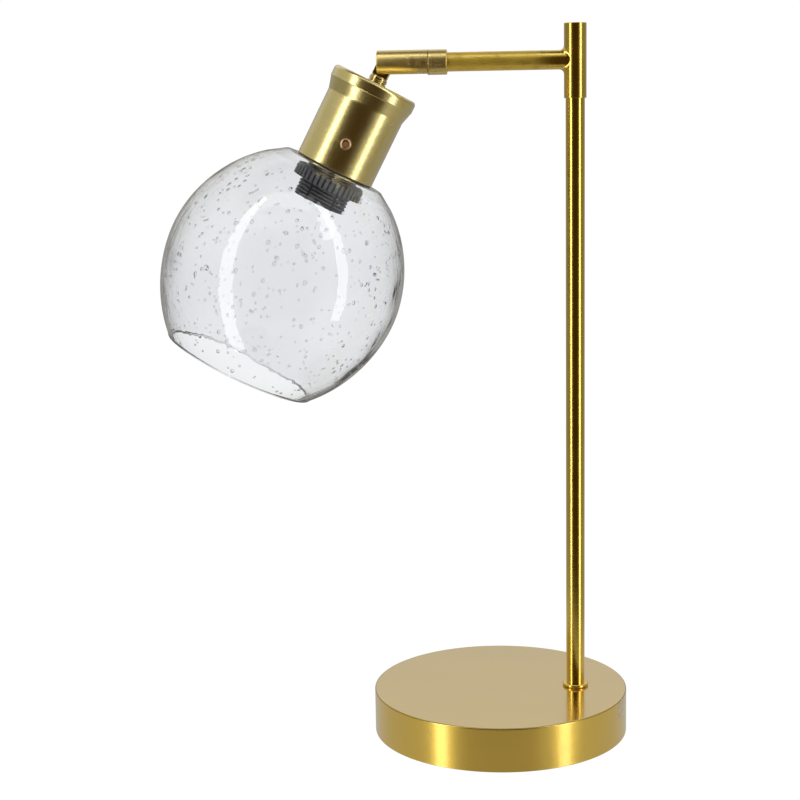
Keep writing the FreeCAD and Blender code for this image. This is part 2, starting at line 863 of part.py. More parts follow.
def terminal_screws():
    screws = []
    bottom = terminal_block_top + terminal_shank_depth
    for side in (-1, 1):
        shank = drop_rod(terminal_screw_radius, terminal_block_top - 1, bottom)
        top = terminal_block_top - 2 * (core_radius + seat_gap) - terminal_screw_head_height
        head = drop_rod(terminal_screw_head_radius, top, top + terminal_screw_head_height)
        shank = shank.fuse(drop_rod(terminal_screw_radius, top, terminal_block_top))
        screw = shank.fuse(head).removeSplitter()
        screw.translate(vector(side * terminal_screw_spread, 0, 0))
        screws.append(on_head(screw))
    return Part.makeCompound(screws)


def switch_body():
    """Rotary switch in the lampholder, with the bore for the knob's spindle."""
    radius = holder_cap_radius
    body = drop_rod(radius, switch_top, switch_bottom)
    return on_head(body.cut(knob_rod(spindle_radius + running_fit, radius - spindle_depth, 2 * radius)))


def shell_insulator():
    radius = holder_mouth_radius - seat_gap
    return on_head(drop_rod(radius, switch_bottom, insulator_bottom))


def shell_wall(offset):
    """Rolled thread's wavy line, from the insulator to the shell's end."""
    turns = (shell_bottom - insulator_bottom) / shell_pitch
    count = int(8 * turns)
    points = []
    for index in range(count + 1):
        share = index / count
        radius = shell_mean_radius + offset - shell_wave * math.cos(2 * math.pi * turns * share)
        points.append(vector(radius, 0, -insulator_bottom - share * (shell_bottom - insulator_bottom)))
    curve = Part.BSplineCurve()
    curve.interpolate(points)
    return curve.toShape(), points[0], points[-1]


def screw_shell():
    """Rolled brass shell that takes the lamp's threaded cap."""
    inner, inner_top, inner_end = shell_wall(-shell_thickness / 2)
    outer, outer_top, outer_end = shell_wall(shell_thickness / 2)
    top = Part.LineSegment(inner_top, outer_top).toShape()
    end = Part.LineSegment(outer_end, inner_end).toShape()
    return on_head(Part.Face(Part.Wire([top, outer, end, inner])).revolve(origin, axis_z, 360))


def centre_contact():
    """Springy strip under the lamp's tip, riveted to the insulator at one end."""
    foot = Part.makeBox(contact_reach, contact_width, contact_thickness,
                        vector(-contact_reach, -contact_width / 2, -insulator_bottom - contact_thickness))
    low = -insulator_bottom - contact_rise
    overlap, bend = contact_bend
    lower_bend, upper_bend, end = contact_tip
    corners = [
        (overlap, -insulator_bottom - contact_thickness),
        (overlap, -insulator_bottom),
        (bend, -insulator_bottom),
        (upper_bend, low + contact_thickness),
        (end, low + contact_thickness),
        (end, low),
        (lower_bend, low),
    ]
    points = [vector(x, -contact_width / 2, z) for x, z in corners]
    tongue = Part.Face(Part.makePolygon(points + points[:1])).extrude(vector(0, contact_width, 0))
    return on_head(fused([foot, tongue]))


def shade_ring():
    """Ribbed ring on the lampholder's thread, which clamps the glass."""
    bottom = ring_drop + shade_ring_height
    body = drop_ring(shade_ring_radius, thread_crest_radius + 2 * running_fit, ring_drop, bottom)
    flute_circle = shade_ring_radius + shade_ring_flute_out
    flutes = []
    for index in range(shade_ring_ribs):
        angle = 2 * math.pi * index / shade_ring_ribs
        flute = drop_rod(shade_ring_flute, ring_drop - 1, bottom + 1)
        flute.translate(vector(math.cos(angle), math.sin(angle), 0) * flute_circle)
        flutes.append(flute)
    return on_head(body.cut(Part.makeCompound(flutes)))


def head_lead():
    return on_head(drop_rod(lead_radius, -tongue_half_width + lead_gap, lead_end_drop))


def lead_cores():
    """The lead's two insulated cores, from its end to the terminal screws."""
    end = terminal_block_top - core_radius - seat_gap
    cores = []
    for side in (-1, 1):
        near = side * core_spread
        far = side * (terminal_screw_spread - terminal_screw_radius - seat_gap)
        points = [
            vector(near, 0, -lead_end_drop),
            vector(near, 0, -end),
            vector(far, 0, -end),
        ]
        cores.append(on_head(tube_along(points, [core_bend], core_radius)))
    return Part.makeCompound(cores)


# ---------------------------------------------------------------- head: globe

def globe_wall_curve(shrink, top_height, low_height):
    """Smooth curve down one face of the globe, between two heights from its centre."""
    count = 22
    start = math.asin(min(1.0, top_height / (globe_rise - shrink)))
    finish = -math.asin(min(1.0, -low_height / (globe_fall - shrink)))
    points = []
    for index in range(count + 1):
        angle = start + (finish - start) * index / count
        reach = (globe_rise if angle > 0 else globe_fall) - shrink
        height = reach * math.sin(angle)
        points.append(vector(globe_half_width(height, shrink), 0, height - globe_centre))
    curve = Part.BSplineCurve()
    curve.interpolate(points)
    return curve.toShape(), points[0], points[-1]


def glass_globe():
    """Blown globe with a flat, thick neck above and a wide open rim below."""
    outer, shoulder, outer_rim = globe_wall_curve(0, globe_neck_to_centre, -globe_centre_to_rim)
    inner_height = globe_neck_to_centre - globe_neck_thickness
    inner, inner_shoulder, inner_rim = globe_wall_curve(globe_wall, inner_height, -globe_centre_to_rim)
    hole_top = vector(globe_hole_radius, 0, -neck_drop)
    hole_bottom = vector(globe_hole_radius, 0, -neck_inside)
    lip = (outer_rim + inner_rim) * 0.5 - vector(0, 0, globe_wall / 2)
    outline = Part.Wire([
        Part.LineSegment(hole_top, shoulder).toShape(),
        outer,
        Part.Arc(outer_rim, lip, inner_rim).toShape(),
        inner,
        Part.LineSegment(inner_shoulder, hole_bottom).toShape(),
        Part.LineSegment(hole_bottom, hole_top).toShape(),
    ])
    body = Part.Face(outline).revolve(origin, axis_z, 360)
    body = round_edges(body, shoulder.x, -neck_drop, globe_shoulder_rounding)
    return on_head(body)


def globe_gasket():
    inner = holder_skirt_radius + running_fit
    return on_head(drop_ring(globe_gasket_radius, inner, cup_bottom, neck_drop))


def ring_gasket():
    inner = thread_crest_radius + 2 * running_fit
    return on_head(drop_ring(ring_gasket_radius, inner, neck_inside, ring_drop))


# ---------------------------------------------------------------- knob

def turn_knob():
    """Small round knob with a dished end."""
    near = cup_radius + knob_standoff
    far = near + knob_length
    body = knob_rod(knob_radius, near, far)
    dish = knob_rod(knob_dish_radius, far - knob_dish_depth, far + 1)
    socket = knob_rod(spindle_radius + seat_gap, near - 1, near + spindle_in_knob)
    return on_head(body.cut(dish).cut(socket))


def switch_spindle():
    near = holder_cap_radius - spindle_depth + lead_gap
    far = cup_radius + knob_standoff + spindle_in_knob - lead_gap
    return on_head(knob_rod(spindle_radius, near, far))


# ---------------------------------------------------------------- export

nodes = [
    base_shell, ballast_weight, base_plate, plate_screws, base_pad, cord_grommet,
    post_tube, post_collar, post_stud, post_foot_bush, post_washer, post_nut,
    post_head_bush, thrust_washer, base_lead,
    arm_sleeve, sleeve_cap, sleeve_stop_screw, arm_tube, arm_braze, rear_barrel, arm_lead,
    front_barrel, swivel_stud, swivel_washer, swivel_nut, pivot_rivets, tilt_washers, swivel_lead,
    head_tongue, stem_washer, stem_collar, cup_shell, cup_lock_washer, cup_nut, gallery_disc,
    holder_cap, holder_skirt, terminal_block, terminal_screws, switch_body, shell_insulator,
    screw_shell, centre_contact, shade_ring, head_lead, lead_cores,
    glass_globe, globe_gasket, ring_gasket,
    turn_knob, switch_spindle,
]

os.makedirs("parts", exist_ok=True)
for make in nodes:
    make().exportStep("parts/" + make.__name__ + ".step")
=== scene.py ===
"""Looks of a glass globe table lamp, built round its solid model.

The lamp has a round weighted base, a post that stands off centre, a swinging arm and a
tilting head with a seeded glass globe. Lengths inside the functions are millimetres, in
the axes of a Place, and become metres when a Place puts them on the lamp.
"""
import json
import math
from functools import cache

import bpy
import numpy as np
from mathutils import Matrix

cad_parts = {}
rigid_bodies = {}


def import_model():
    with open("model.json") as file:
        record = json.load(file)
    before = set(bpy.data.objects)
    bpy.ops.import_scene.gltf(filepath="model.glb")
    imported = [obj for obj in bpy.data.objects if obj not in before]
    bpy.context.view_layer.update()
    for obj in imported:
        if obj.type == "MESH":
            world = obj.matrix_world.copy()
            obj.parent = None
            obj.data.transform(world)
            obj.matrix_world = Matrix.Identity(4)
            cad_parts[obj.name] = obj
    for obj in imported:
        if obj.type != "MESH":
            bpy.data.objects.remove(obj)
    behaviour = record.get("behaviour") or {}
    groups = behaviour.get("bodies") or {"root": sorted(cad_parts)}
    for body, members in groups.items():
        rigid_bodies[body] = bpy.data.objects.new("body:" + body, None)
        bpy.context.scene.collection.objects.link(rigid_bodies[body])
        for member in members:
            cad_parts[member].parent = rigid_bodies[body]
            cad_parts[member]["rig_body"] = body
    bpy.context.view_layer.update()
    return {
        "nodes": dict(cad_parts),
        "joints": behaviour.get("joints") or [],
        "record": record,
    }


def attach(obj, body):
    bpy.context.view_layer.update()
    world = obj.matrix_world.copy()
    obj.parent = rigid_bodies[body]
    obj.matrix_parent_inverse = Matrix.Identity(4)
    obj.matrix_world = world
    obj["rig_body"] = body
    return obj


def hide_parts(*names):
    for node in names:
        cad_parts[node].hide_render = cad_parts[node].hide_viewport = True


bl_info = {
    "name": "Glass globe table lamp",
    "version": (1, 0, 0),
    "blender": (4, 5, 0),
    "location": "View3D > Sidebar > Lamp",
    "description": "Dresses the solid model of a brass table lamp with a seeded glass globe",
    "category": "Add Mesh",
}

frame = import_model()
MM = 0.001
TURN = 2 * math.pi
QUARTER = math.pi / 2


# ---------------------------------------------------------------- places on the lamp

def unit(vector):
    """The vector at length 1."""
    vector = np.asarray(vector, float)
    return vector / np.linalg.norm(vector)


class Place:
    """A spot on the lamp with its own axes, the third of which a piece is turned about."""

    def __init__(self, origin, third, first):
        third = unit(third)
        first = np.asarray(first, float)
        first = unit(first - third * (first @ third))
        self.origin = np.asarray(origin, float)
        self.axes = np.stack([first, np.cross(third, first), third])

    def world(self, points):
        """Millimetres in the place's axes to metres on the lamp."""
        return self.origin + (points * MM) @ self.axes

    def local(self, points):
        """Metres on the lamp to millimetres in the place's axes."""
        return (points - self.origin) @ self.axes.T / MM

    def turn(self):
        """Turn of the place's axes, as Euler angles."""
        return Matrix(self.axes.T.tolist()).to_euler()


joints = {joint["name"]: joint for joint in frame["joints"]}
socket_mount = [m for m in frame["record"]["mounts"] if m["name"] == "lamp_socket"][0]
swivel_spot = joints["barrel_swivel"]["pos_m"]
tilt_axis = joints["head_tilt"]["axis"]
head_axis = -unit(socket_mount["axis"])
knob_axis = joints["switch_turn"]["axis"]

STAND = Place((0, 0, 0), (0, 0, 1), (1, 0, 0))
POST = Place((*joints["arm_swing"]["pos_m"][:2], 0), (0, 0, 1), (1, 0, 0))
ARM = Place((0, *swivel_spot[1:]), (1, 0, 0), (0, 1, 0))
SWIVEL = Place((0, *swivel_spot[1:]), (1, 0, 0), tilt_axis)
HEAD = Place(joints["head_tilt"]["pos_m"], head_axis, np.cross(tilt_axis, head_axis))
KNOB = Place(joints["switch_turn"]["pos_m"], knob_axis, head_axis)


def vertices_of(node):
    """Vertices of a node of the solid model, in metres on the lamp."""
    mesh = frame["nodes"][node].data
    points = np.zeros(len(mesh.vertices) * 3, np.float32)
    mesh.vertices.foreach_get("co", points)
    return points.reshape(-1, 3).astype(float)


def span(node, place):
    """(largest radius, lowest, highest) of a node of the solid model about a place's axis."""
    points = place.local(vertices_of(node))
    return np.hypot(points[:, 0], points[:, 1]).max(), points[:, 2].min(), points[:, 2].max()


# ---------------------------------------------------------------- surfaces

def rounded(corners, steps=6, beside=0.25):
    """Closed outline of (radius, height, rounding) corners.

    A corner with a rounding becomes an arc of that radius, tangent to both its sides. Each
    side gets a point beside both its ends, at most a quarter of the side in, which keeps
    the shading of the side flat.
    """
    corners = np.asarray(corners, float)
    points, roundings = corners[:, :2], corners[:, 2]
    outline = []
    for index, rounding in enumerate(roundings):
        here, before, after = points[index], points[index - 1], points[(index + 1) % len(points)]
        if rounding == 0:
            outline.append(here[None])
            continue
        back, on = unit(before - here), unit(after - here)
        half = math.acos(float(np.clip(back @ on, -1, 1))) / 2
        centre = here + unit(back + on) * rounding / math.sin(half)
        start, end = here + back * rounding / math.tan(half), here + on * rounding / math.tan(half)
        first = math.atan2(*(start - centre)[::-1])
        sweep = (math.atan2(*(end - centre)[::-1]) - first + math.pi) % TURN - math.pi
        angle = first + sweep * np.linspace(0, 1, steps + 1)
        outline.append(centre + rounding * np.stack([np.cos(angle), np.sin(angle)], 1))
    if not beside:
        return np.vstack(outline)
    supported = []
    for index, arc in enumerate(outline):
        side = outline[(index + 1) % len(outline)][0] - arc[-1]
        share = min(0.25, beside / max(np.linalg.norm(side), 1e-9))
        supported += [arc, arc[-1] + share * side, arc[-1] + (1 - share) * side]
    return np.vstack(supported)


def revolved(outline, segments):
    """Grid of points: each (radius, height) of the outline goes round the third axis."""
    angle = np.arange(segments) * TURN / segments
    radius, height = outline[:, :1], outline[:, 1:]
    return np.stack([radius * np.cos(angle), radius * np.sin(angle), height + 0 * angle], -1)


def polar(grid):
    """(angle, radius) of a grid's points about the third axis."""
    return np.arctan2(grid[..., 1], grid[..., 0]), np.hypot(grid[..., 0], grid[..., 1])


def raise_surface(grid, height):
    """Moves each point of a grid out from the third axis by its height, or in where it is below 0."""
    radius = polar(grid)[1]
    grid[..., :2] *= ((radius + height) / radius)[..., None]


def grooves(angle, radius, number, size):
    """Depth of evenly spaced round grooves: that of a circle of a size across each bearing."""
    bearing = angle % (TURN / number)
    off = np.minimum(bearing, TURN / number - bearing) * radius
    return np.sqrt(np.clip(size ** 2 - off ** 2, 0, None))


def section_edge(face, rounding, rows):
    """(place, inset) of sections on a quarter circle, from a flat face on to the full section."""
    turn = np.linspace(QUARTER, 0, rows)
    return list(zip(face + rounding * (1 - np.sin(turn)), rounding * (1 - np.cos(turn))))


def closed_form(grid, loop=True, hollow=False, fans=(True, True)):
    """(vertices, quads, triangles) of a closed surface through a grid of points.

    Columns wrap round. Rows wrap round as well in a loop, and otherwise a fan from the
    middle of the first and of the last row closes the ends, where there is one. Faces
    point out of the form, or into it when it is a hollow.
    """
    rows, columns = grid.shape[:2]
    vertices = grid.reshape(-1, 3)
    row, column = np.meshgrid(np.arange(rows if loop else rows - 1), np.arange(columns), indexing="ij")
    below, right = (row + 1) % rows, (column + 1) % columns
    quads = np.stack([row * columns + column, row * columns + right,
                      below * columns + right, below * columns + column], -1).reshape(-1, 4)
    triangles = np.zeros((0, 3), int)
    if not loop:
        side = np.arange(columns)
        beside = (side + 1) % columns
        last = (rows - 1) * columns
        pole = np.full(columns, len(vertices))
        vertices = np.vstack([vertices, grid[0].mean(0), grid[-1].mean(0)])
        first_fan = np.stack([pole, beside, side], 1)
        last_fan = np.stack([pole + 1, last + side, last + beside], 1)
        triangles = np.vstack([first_fan[:columns * fans[0]], last_fan[:columns * fans[1]]])
    corners = vertices[np.vstack([triangles, quads[:, :3], quads[:, [0, 2, 3]]])]
    volume = (corners[:, 0] * np.cross(corners[:, 1], corners[:, 2])).sum()
    if (volume < 0) != hollow:
        quads, triangles = quads[:, ::-1], triangles[:, ::-1]
    return vertices, quads, triangles


def merged(forms):
    """Several forms as one (vertices, quads, triangles)."""
    starts = np.cumsum([0] + [len(form[0]) for form in forms])
    return (np.vstack([form[0] for form in forms]),
            np.vstack([form[1] + start for form, start in zip(forms, starts)]),
            np.vstack([form[2] + start for form, start in zip(forms, starts)]))


def welded(form):
    """The form with the points that share a place made one, and no face left folded."""
    vertices, quads, triangles = form
    _, first, where = np.unique(np.round(vertices, 6), axis=0, return_index=True, return_inverse=True)
    where = where.ravel()
    vertices, quads, triangles = vertices[first], where[quads], where[triangles]
    for corner in range(4):
        folded = quads[:, corner] == quads[:, corner - 1]
        triangles = np.vstack([triangles, np.delete(quads[folded], corner, axis=1)])
        quads = quads[~folded]
    distinct = (triangles != np.roll(triangles, 1, axis=1)).all(axis=1)
    return vertices, quads, triangles[distinct]


def piece(name, form, place, body, finish, node, sharp=34):
    """Makes a form a mesh object that rides on a body and stands for a node.

    Edges of more than so many degrees are sharp.
    """
    vertices, quads, triangles = form
    vertices = place.world(vertices)
    mesh = bpy.data.meshes.new(name)
    mesh.vertices.add(len(vertices))
    mesh.vertices.foreach_set("co", vertices.astype(np.float32).ravel())
    mesh.loops.add(quads.size + triangles.size)
    around = np.concatenate([quads.ravel(), triangles.ravel()])
    mesh.loops.foreach_set("vertex_index", around.astype(np.int32))
    sizes = np.repeat([4, 3], [len(quads), len(triangles)])
    mesh.polygons.add(len(sizes))
    mesh.polygons.foreach_set("loop_start", (np.cumsum(sizes) - sizes).astype(np.int32))
    mesh.update(calc_edges=True)
    mesh.validate()
    mesh.shade_smooth()
    mesh.set_sharp_from_angle(angle=math.radians(sharp))
    mesh.materials.append(finish)
    made = bpy.data.objects.new(name, mesh)
    bpy.context.scene.collection.objects.link(made)
    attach(made, body)
    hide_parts(node)
    return made


def turned_piece(name, corners, place, body, finish, node, segments=96, steps=6):
    """A piece turned from a closed outline of (radius, height, rounding) corners."""
    outline = rounded(corners, steps)
    on_axis = outline[:, 0] < 1e-6
    form = closed_form(revolved(outline[~on_axis], segments), loop=not on_axis.any())
    return piece(name, form, place, body, finish, node)


# ---------------------------------------------------------------- finishes

class Value:
    """One output of a node. Python's operators on it add Math nodes."""

    def __init__(self, finish, socket):
        self.finish, self.socket = finish, socket

    def math(self, operation, *values):
        """Result of a Math node on values and numbers."""
        return self.finish.add("ShaderNodeMath", {"operation": operation}, dict(enumerate(values)))

    def __add__(self, other):
        return self.math("ADD", self, other)

    def __sub__(self, other):
        return self.math("SUBTRACT", self, other)

    def __rsub__(self, other):
        return self.math("SUBTRACT", other, self)

    def __mul__(self, other):
        return self.math("MULTIPLY", self, other)

    def __pow__(self, other):
        return self.math("POWER", self, other)

    def size(self):
        """The value without its sign."""
        return self.math("ABSOLUTE", self)

    def over(self, limit, softness):
        """0 below a limit, 1 above it, with a soft step between."""
        return self.finish.add("ShaderNodeMapRange", {"interpolation_type": "SMOOTHSTEP"},
                               {0: self, 1: limit - softness, 2: limit + softness, 3: 0.0, 4: 1.0})

    __radd__ = __add__
    __rmul__ = __mul__


class Finish:
    """The nodes of a new material, or of a new world, and the one method that adds them."""

    def __init__(self, name, world=False):
        self.owner = (bpy.data.worlds if world else bpy.data.materials).new(name)
        self.owner.use_nodes = True
        self.tree = self.owner.node_tree
        self.tree.nodes.clear()

    def add(self, kind, settings=None, inputs=None, output=0):
        """Adds a node with its settings, then its inputs, and returns one of its outputs."""
        node = self.tree.nodes.new(kind)
        for key, setting in (settings or {}).items():
            setattr(node, key, setting)
        for key, value in (inputs or {}).items():
            if isinstance(value, Value):
                self.tree.links.new(value.socket, node.inputs[key])
            else:
                node.inputs[key].default_value = value
        return Value(self, node.outputs[output]) if node.outputs else None

    def position(self, place):
        """Position in a place's axes, in metres."""
        coordinates = self.add("ShaderNodeTexCoord", output="Object")
        return self.add("ShaderNodeMapping", {"vector_type": "TEXTURE"},
                        {"Vector": coordinates, "Location": tuple(place.origin), "Rotation": place.turn()})

    def parts(self, vector):
        """The three numbers of a vector."""
        split = self.add("ShaderNodeSeparateXYZ", None, {0: vector}).socket.node
        return [Value(self, output) for output in split.outputs]

    def from_axis(self, vector):
        """Distance of a position from the third axis, in metres."""
        x, y, _ = self.parts(vector)
        return (x * x + y * y) ** 0.5

    def stretched(self, vector, scale):
        """The vector times a scale for each axis, per metre."""
        return self.add("ShaderNodeVectorMath", {"operation": "MULTIPLY"}, {0: vector, 1: scale})

    def noise(self, vector, scale, detail=2.0, roughness=0.5):
        """Noise round 0.5 whose coarsest features are about 1 / scale long."""
        return self.add("ShaderNodeTexNoise", None,
                        {"Vector": vector, "Scale": scale, "Detail": detail, "Roughness": roughness})

    def blend(self, factor, first, second):
        """Mixes two colours."""
        return self.add("ShaderNodeMix", {"data_type": "RGBA"}, {0: factor, 6: first, 7: second}, 2)

    def shaded(self, factor, colour, darkest, palest):
        """A colour that goes from one brightness to another with a factor."""
        return self.blend(factor, tone(colour, darkest), tone(colour, palest))

    def bump(self, height, depth, strength=1.0):
        """Normal of a surface raised by height times a depth in metres."""
        return self.add("ShaderNodeBump", None, {"Strength": strength, "Distance": depth, "Height": height})

    def direct(self):
        """1 for a ray straight from the camera or only through glass, 0 for a reflected one."""
        path = self.add("ShaderNodeLightPath").socket.node.outputs
        seen, through, diffuse, glossy = [Value(self, path[name]) for name in (
            "Is Camera Ray", "Is Transmission Ray", "Diffuse Depth", "Glossy Depth")]
        bounced = diffuse + glossy
        return seen.math("MAXIMUM", seen, through * (1 - bounced.math("MINIMUM", bounced, 1.0)))

    def emission(self, colour, strength=1.0):
        """Shader of an even glow."""
        return self.add("ShaderNodeEmission", None, {"Color": colour, "Strength": strength})

    def mixed(self, share, first, second):
        """Mixes two shaders."""
        return self.add("ShaderNodeMixShader", None, {0: share, 1: first, 2: second})

    def output(self, shader):
        """The material, with a shader on its output."""
        self.add("ShaderNodeOutputMaterial", None, {"Surface": shader})
        return self.owner

    def surface(self, passing=None, **inputs):
        """The material with one shader, through which a share of the rays passes if one is given."""
        shader = self.add("ShaderNodeBsdfPrincipled", None,
                          {key.replace("_", " "): value for key, value in inputs.items()})
        if passing:
            shader = self.mixed(passing, shader, self.add("ShaderNodeBsdfTransparent"))
        return self.output(shader)


def colours():
    """The colours that the settings hold."""
    return bpy.context.scene.lamp_finishes


def tone(colour, factor):
    """The colour made darker or paler, with an alpha of 1."""
    return (*(min(1.0, channel * factor) for channel in colour[:3]), 1.0)


# Each polished finish's slope of the turning lines, and its least roughness.
POLISH = {"post": (0.08, 0.11), "arm": (0.13, 0.42), "head": (0.11, 0.20), "stem": (0.03, 0.06)}


def turned_lines(finish, here, slope):
    """Fine lines round a place's axis, as a bump height and its depth in metres.

    The slope is the typical steepness of a line's sides, which spreads a reflection
    along the axis and leaves it sharp across. Noise rises by about 0.7 in a pitch.
    """
    pitch, rise = 0.00022, 0.7
    lines = finish.noise(finish.stretched(here, (40, 40, 1 / pitch)), 1.0, 1.0)
    return lines, slope * pitch / rise


@cache
def polished_brass(place, name):
    """Polished brass: fine turning lines across its axis, faint clouds where it has aged and dulled.

    The arm has darker stains as well, and is rubbed smoother where it meets the sleeve.
    """
    slope, roughness = POLISH[name]
    finish = Finish("polished_brass_" + name)
    here = finish.position(place)
    lines, depth = turned_lines(finish, here, slope)
    streaks = finish.noise(finish.stretched(here, (30, 30, 800)), 1.0, 2.0)
    clouds = finish.noise(here, 55.0, 2.0)
    colour = getattr(colours(), name)
    metal = finish.shaded(0.7 * clouds + 0.3 * streaks, colour, 0.86, 1.1)
    rubbed = 0.0
    if name == "arm":
        near_sleeve = POST.origin[0] - 0.024
        rubbed = 0.26 * finish.parts(here)[2].over(near_sleeve, 0.012)
        stains = finish.noise(finish.stretched(here, (150, 150, 60)), 1.0, 4.0, 0.7).over(0.58, 0.08)
        metal = finish.blend(0.4 * stains, metal, tone(colour, 0.4))
    return finish.surface(
        Base_Color=metal,
        Metallic=1.0, Roughness=roughness + 0.07 * clouds + 0.05 * streaks - rubbed,
        Coat_Weight=0.9, Coat_Roughness=0.15,
        Normal=finish.bump(lines, depth))


@cache
def satin_brass(place, name):
    """Satin brass turned round a place's axis, with dark specks of wear next to the seam."""
    finish = Finish("satin_brass_" + name)
    here = finish.position(place)
    lines, depth = turned_lines(finish, here, 0.24)
    mottle = finish.noise(here, 700.0, 3.0, 0.7)
    clouds = finish.noise(here, 160.0, 3.0)
    seam = -0.052
    near_seam = 1 - (finish.parts(here)[2] - seam).size().over(0.012, 0.011)
    specks = mottle.over(0.56, 0.05) * near_seam * clouds.over(0.42, 0.12)
    colour = colours().barrel
    metal = finish.shaded(clouds, colour, 0.86, 1.1)
    return finish.surface(
        Base_Color=finish.blend(0.75 * specks, metal, tone(colour, 0.42)),
        Metallic=1.0, Roughness=0.25 + 0.05 * mottle + 0.08 * clouds + 0.1 * specks,
        Coat_Weight=0.6, Coat_Roughness=0.25,
        Normal=finish.bump(lines + 0.08 * mottle, depth))


@cache
def base_brass():
    """Base: straight brushing along X on its top, lines round its side, a few scuffs.

    A dark line of painted shade follows the top's rim. The scuffs lie in a worn patch low on the right.
    """
    finish = Finish("base_brass")
    here = finish.position(STAND)
    x, y, z = finish.parts(here)
    high = span("base_shell", STAND)[2] * MM
    top = z.over(high - 0.0004, 0.0003)
    # Painted shade: a dark line along the top's rounded rim.
    rim = z.over(high - 0.0009, 0.0002) * (1 - z.over(high - 0.0002, 0.0001))
    straight = finish.noise(finish.stretched(here, (9, 2600, 9)), 1.0, 2.0)
    round_side = finish.noise(finish.stretched(here, (30, 30, 3600)), 1.0, 1.0)
    lines = 0.75 * straight * top + round_side * (1 - top)
    clouds = finish.noise(finish.stretched(here, (10, 34, 22)), 1.0, 3.0)
    patch = (0.0945, -0.033, 0.0285)
    from_patch = (x - patch[0]) ** 2.0 + (y - patch[1]) ** 2.0 + (z - patch[2]) ** 2.0
    worn = (1 - from_patch.over(0.00007, 0.00005)) * (1 - top)
    scuffs = worn * finish.noise(here, 900.0, 2.0).over(0.56, 0.03)
    metal = finish.blend(top, finish.shaded(clouds, colours().base_side, 0.92, 1.06),
                         finish.shaded(clouds, colours().base_top, 0.95, 1.04))
    tarnish_and_rim_shade, bare = (0.20, 0.12, 0.02, 1.0), (0.95, 0.9, 0.8, 1.0)
    # The dark colour serves the worn patch, which is real tarnish, and the rim's line of painted shade.
    metal = finish.blend(0.3 * worn + 0.45 * rim, metal, tarnish_and_rim_shade)
    return finish.surface(
        Base_Color=finish.blend(scuffs, metal, bare),
        Metallic=1.0, Roughness=0.20 + 0.05 * clouds + 0.03 * lines - 0.04 * top + 0.3 * scuffs,
        Coat_Weight=0.9, Coat_Roughness=0.07,
        Normal=finish.bump(lines + 1.2 * scuffs, 0.00004))


@cache
def copper():
    """Turn knob: rose gold tone, turned lines round its axis, its dish painted a darker orange and a
    near-black ring where its wall slopes down, both painted shade in the hollow.
    """
    finish = Finish("knob_copper")
    here = finish.position(KNOB)
    lines, depth = turned_lines(finish, here, 0.08)
    clouds = finish.noise(here, 300.0, 3.0)
    out = finish.from_axis(here)
    past_dish = out.over(0.0019, 0.0003)
    # Painted shade: the dish's hollow and the ring on its sloping wall.
    dish, groove_shade = 1 - past_dish, past_dish * (1 - out.over(0.0028, 0.0002))
    colour = colours().copper
    # The dish's darker orange is painted shade in its hollow.
    metal = finish.blend(dish, finish.shaded(clouds, colour, 0.85, 1.08), (0.66, 0.27, 0.06, 1.0))
    # Near-black painted shade on the ring where the dish's wall slopes down.
    return finish.surface(
        Base_Color=finish.blend(0.85 * groove_shade, metal, tone(colour, 0.05)),
        Metallic=1.0, Roughness=0.18 + 0.14 * clouds + 0.4 * dish, Normal=finish.bump(lines, depth))


@cache
def black_moulding():
    """Black moulded plastic with a slight gloss and a faint grain, painted grey on the tops of its ribs and
    thread as a painted highlight.

    The painted highlight lies on the ring's ribs and the thread's turns, found by their distance from the
    head's axis.
    """
    finish = Finish("black_moulding")
    here = finish.position(HEAD)
    out = finish.from_axis(here)
    ring, thread = span("shade_ring", HEAD)[0] * MM, span("holder_skirt", HEAD)[0] * MM
    turns = out.over(thread - 0.0004, 0.0003) * (1 - out.over(thread + 0.0002, 0.0001))
    # Painted highlight: the tops of the ribs and of the thread's turns.
    crest_highlight = out.over(ring - 0.0004, 0.0003) + turns
    grain = finish.noise(here, 2600.0, 3.0, 0.6)
    wear = finish.noise(here, 120.0, 3.0)
    black = finish.blend(wear, (0.003, 0.0032, 0.004, 1.0), (0.008, 0.0085, 0.010, 1.0))
    # The grey on the ribs' and thread's tops is a painted highlight, varied by the wear noise.
    return finish.surface(
        Base_Color=finish.blend(crest_highlight * (0.6 + 0.4 * wear), black, (0.17, 0.176, 0.194, 1.0)),
        Roughness=0.24 + 0.14 * wear, Normal=finish.bump(grain, 0.00002, 0.4))


@cache
def clear_glass(name="clear_glass", bending=1.5, deepest=0.65):
    """Clear blown glass: a faint grey tint, deeper where it is seen edge on, partly for the longer path and
    partly as painted shade on its edges, and faint waves.

    It lets most of the light through to what it covers. Bending is its refractive index.
    """
    finish = Finish(name)
    here = finish.position(HEAD)
    waves = finish.noise(finish.stretched(here, (55, 55, 22)), 1.0, 2.0)
    ripples = finish.noise(finish.stretched(here, (190, 190, 80)), 1.0, 1.0)
    edge = finish.add("ShaderNodeLayerWeight", None, {"Blend": 0.5}, 1)
    tint = colours().glass
    light = 0.9 * finish.add("ShaderNodeLightPath", output="Is Shadow Ray")
    clear = finish.shaded(waves, tint, 0.985, 1.0)
    # Painted shade where the glass is seen edge on, darker than the longer path's tint alone.
    return finish.surface(
        Base_Color=finish.blend(deepest * edge.over(0.88, 0.11), clear, tone(tint, 0.35)),
        Roughness=0.0, IOR=bending, Transmission_Weight=1.0,
        Normal=finish.bump(waves + 0.25 * ripples, 0.0005, 0.4), passing=light)


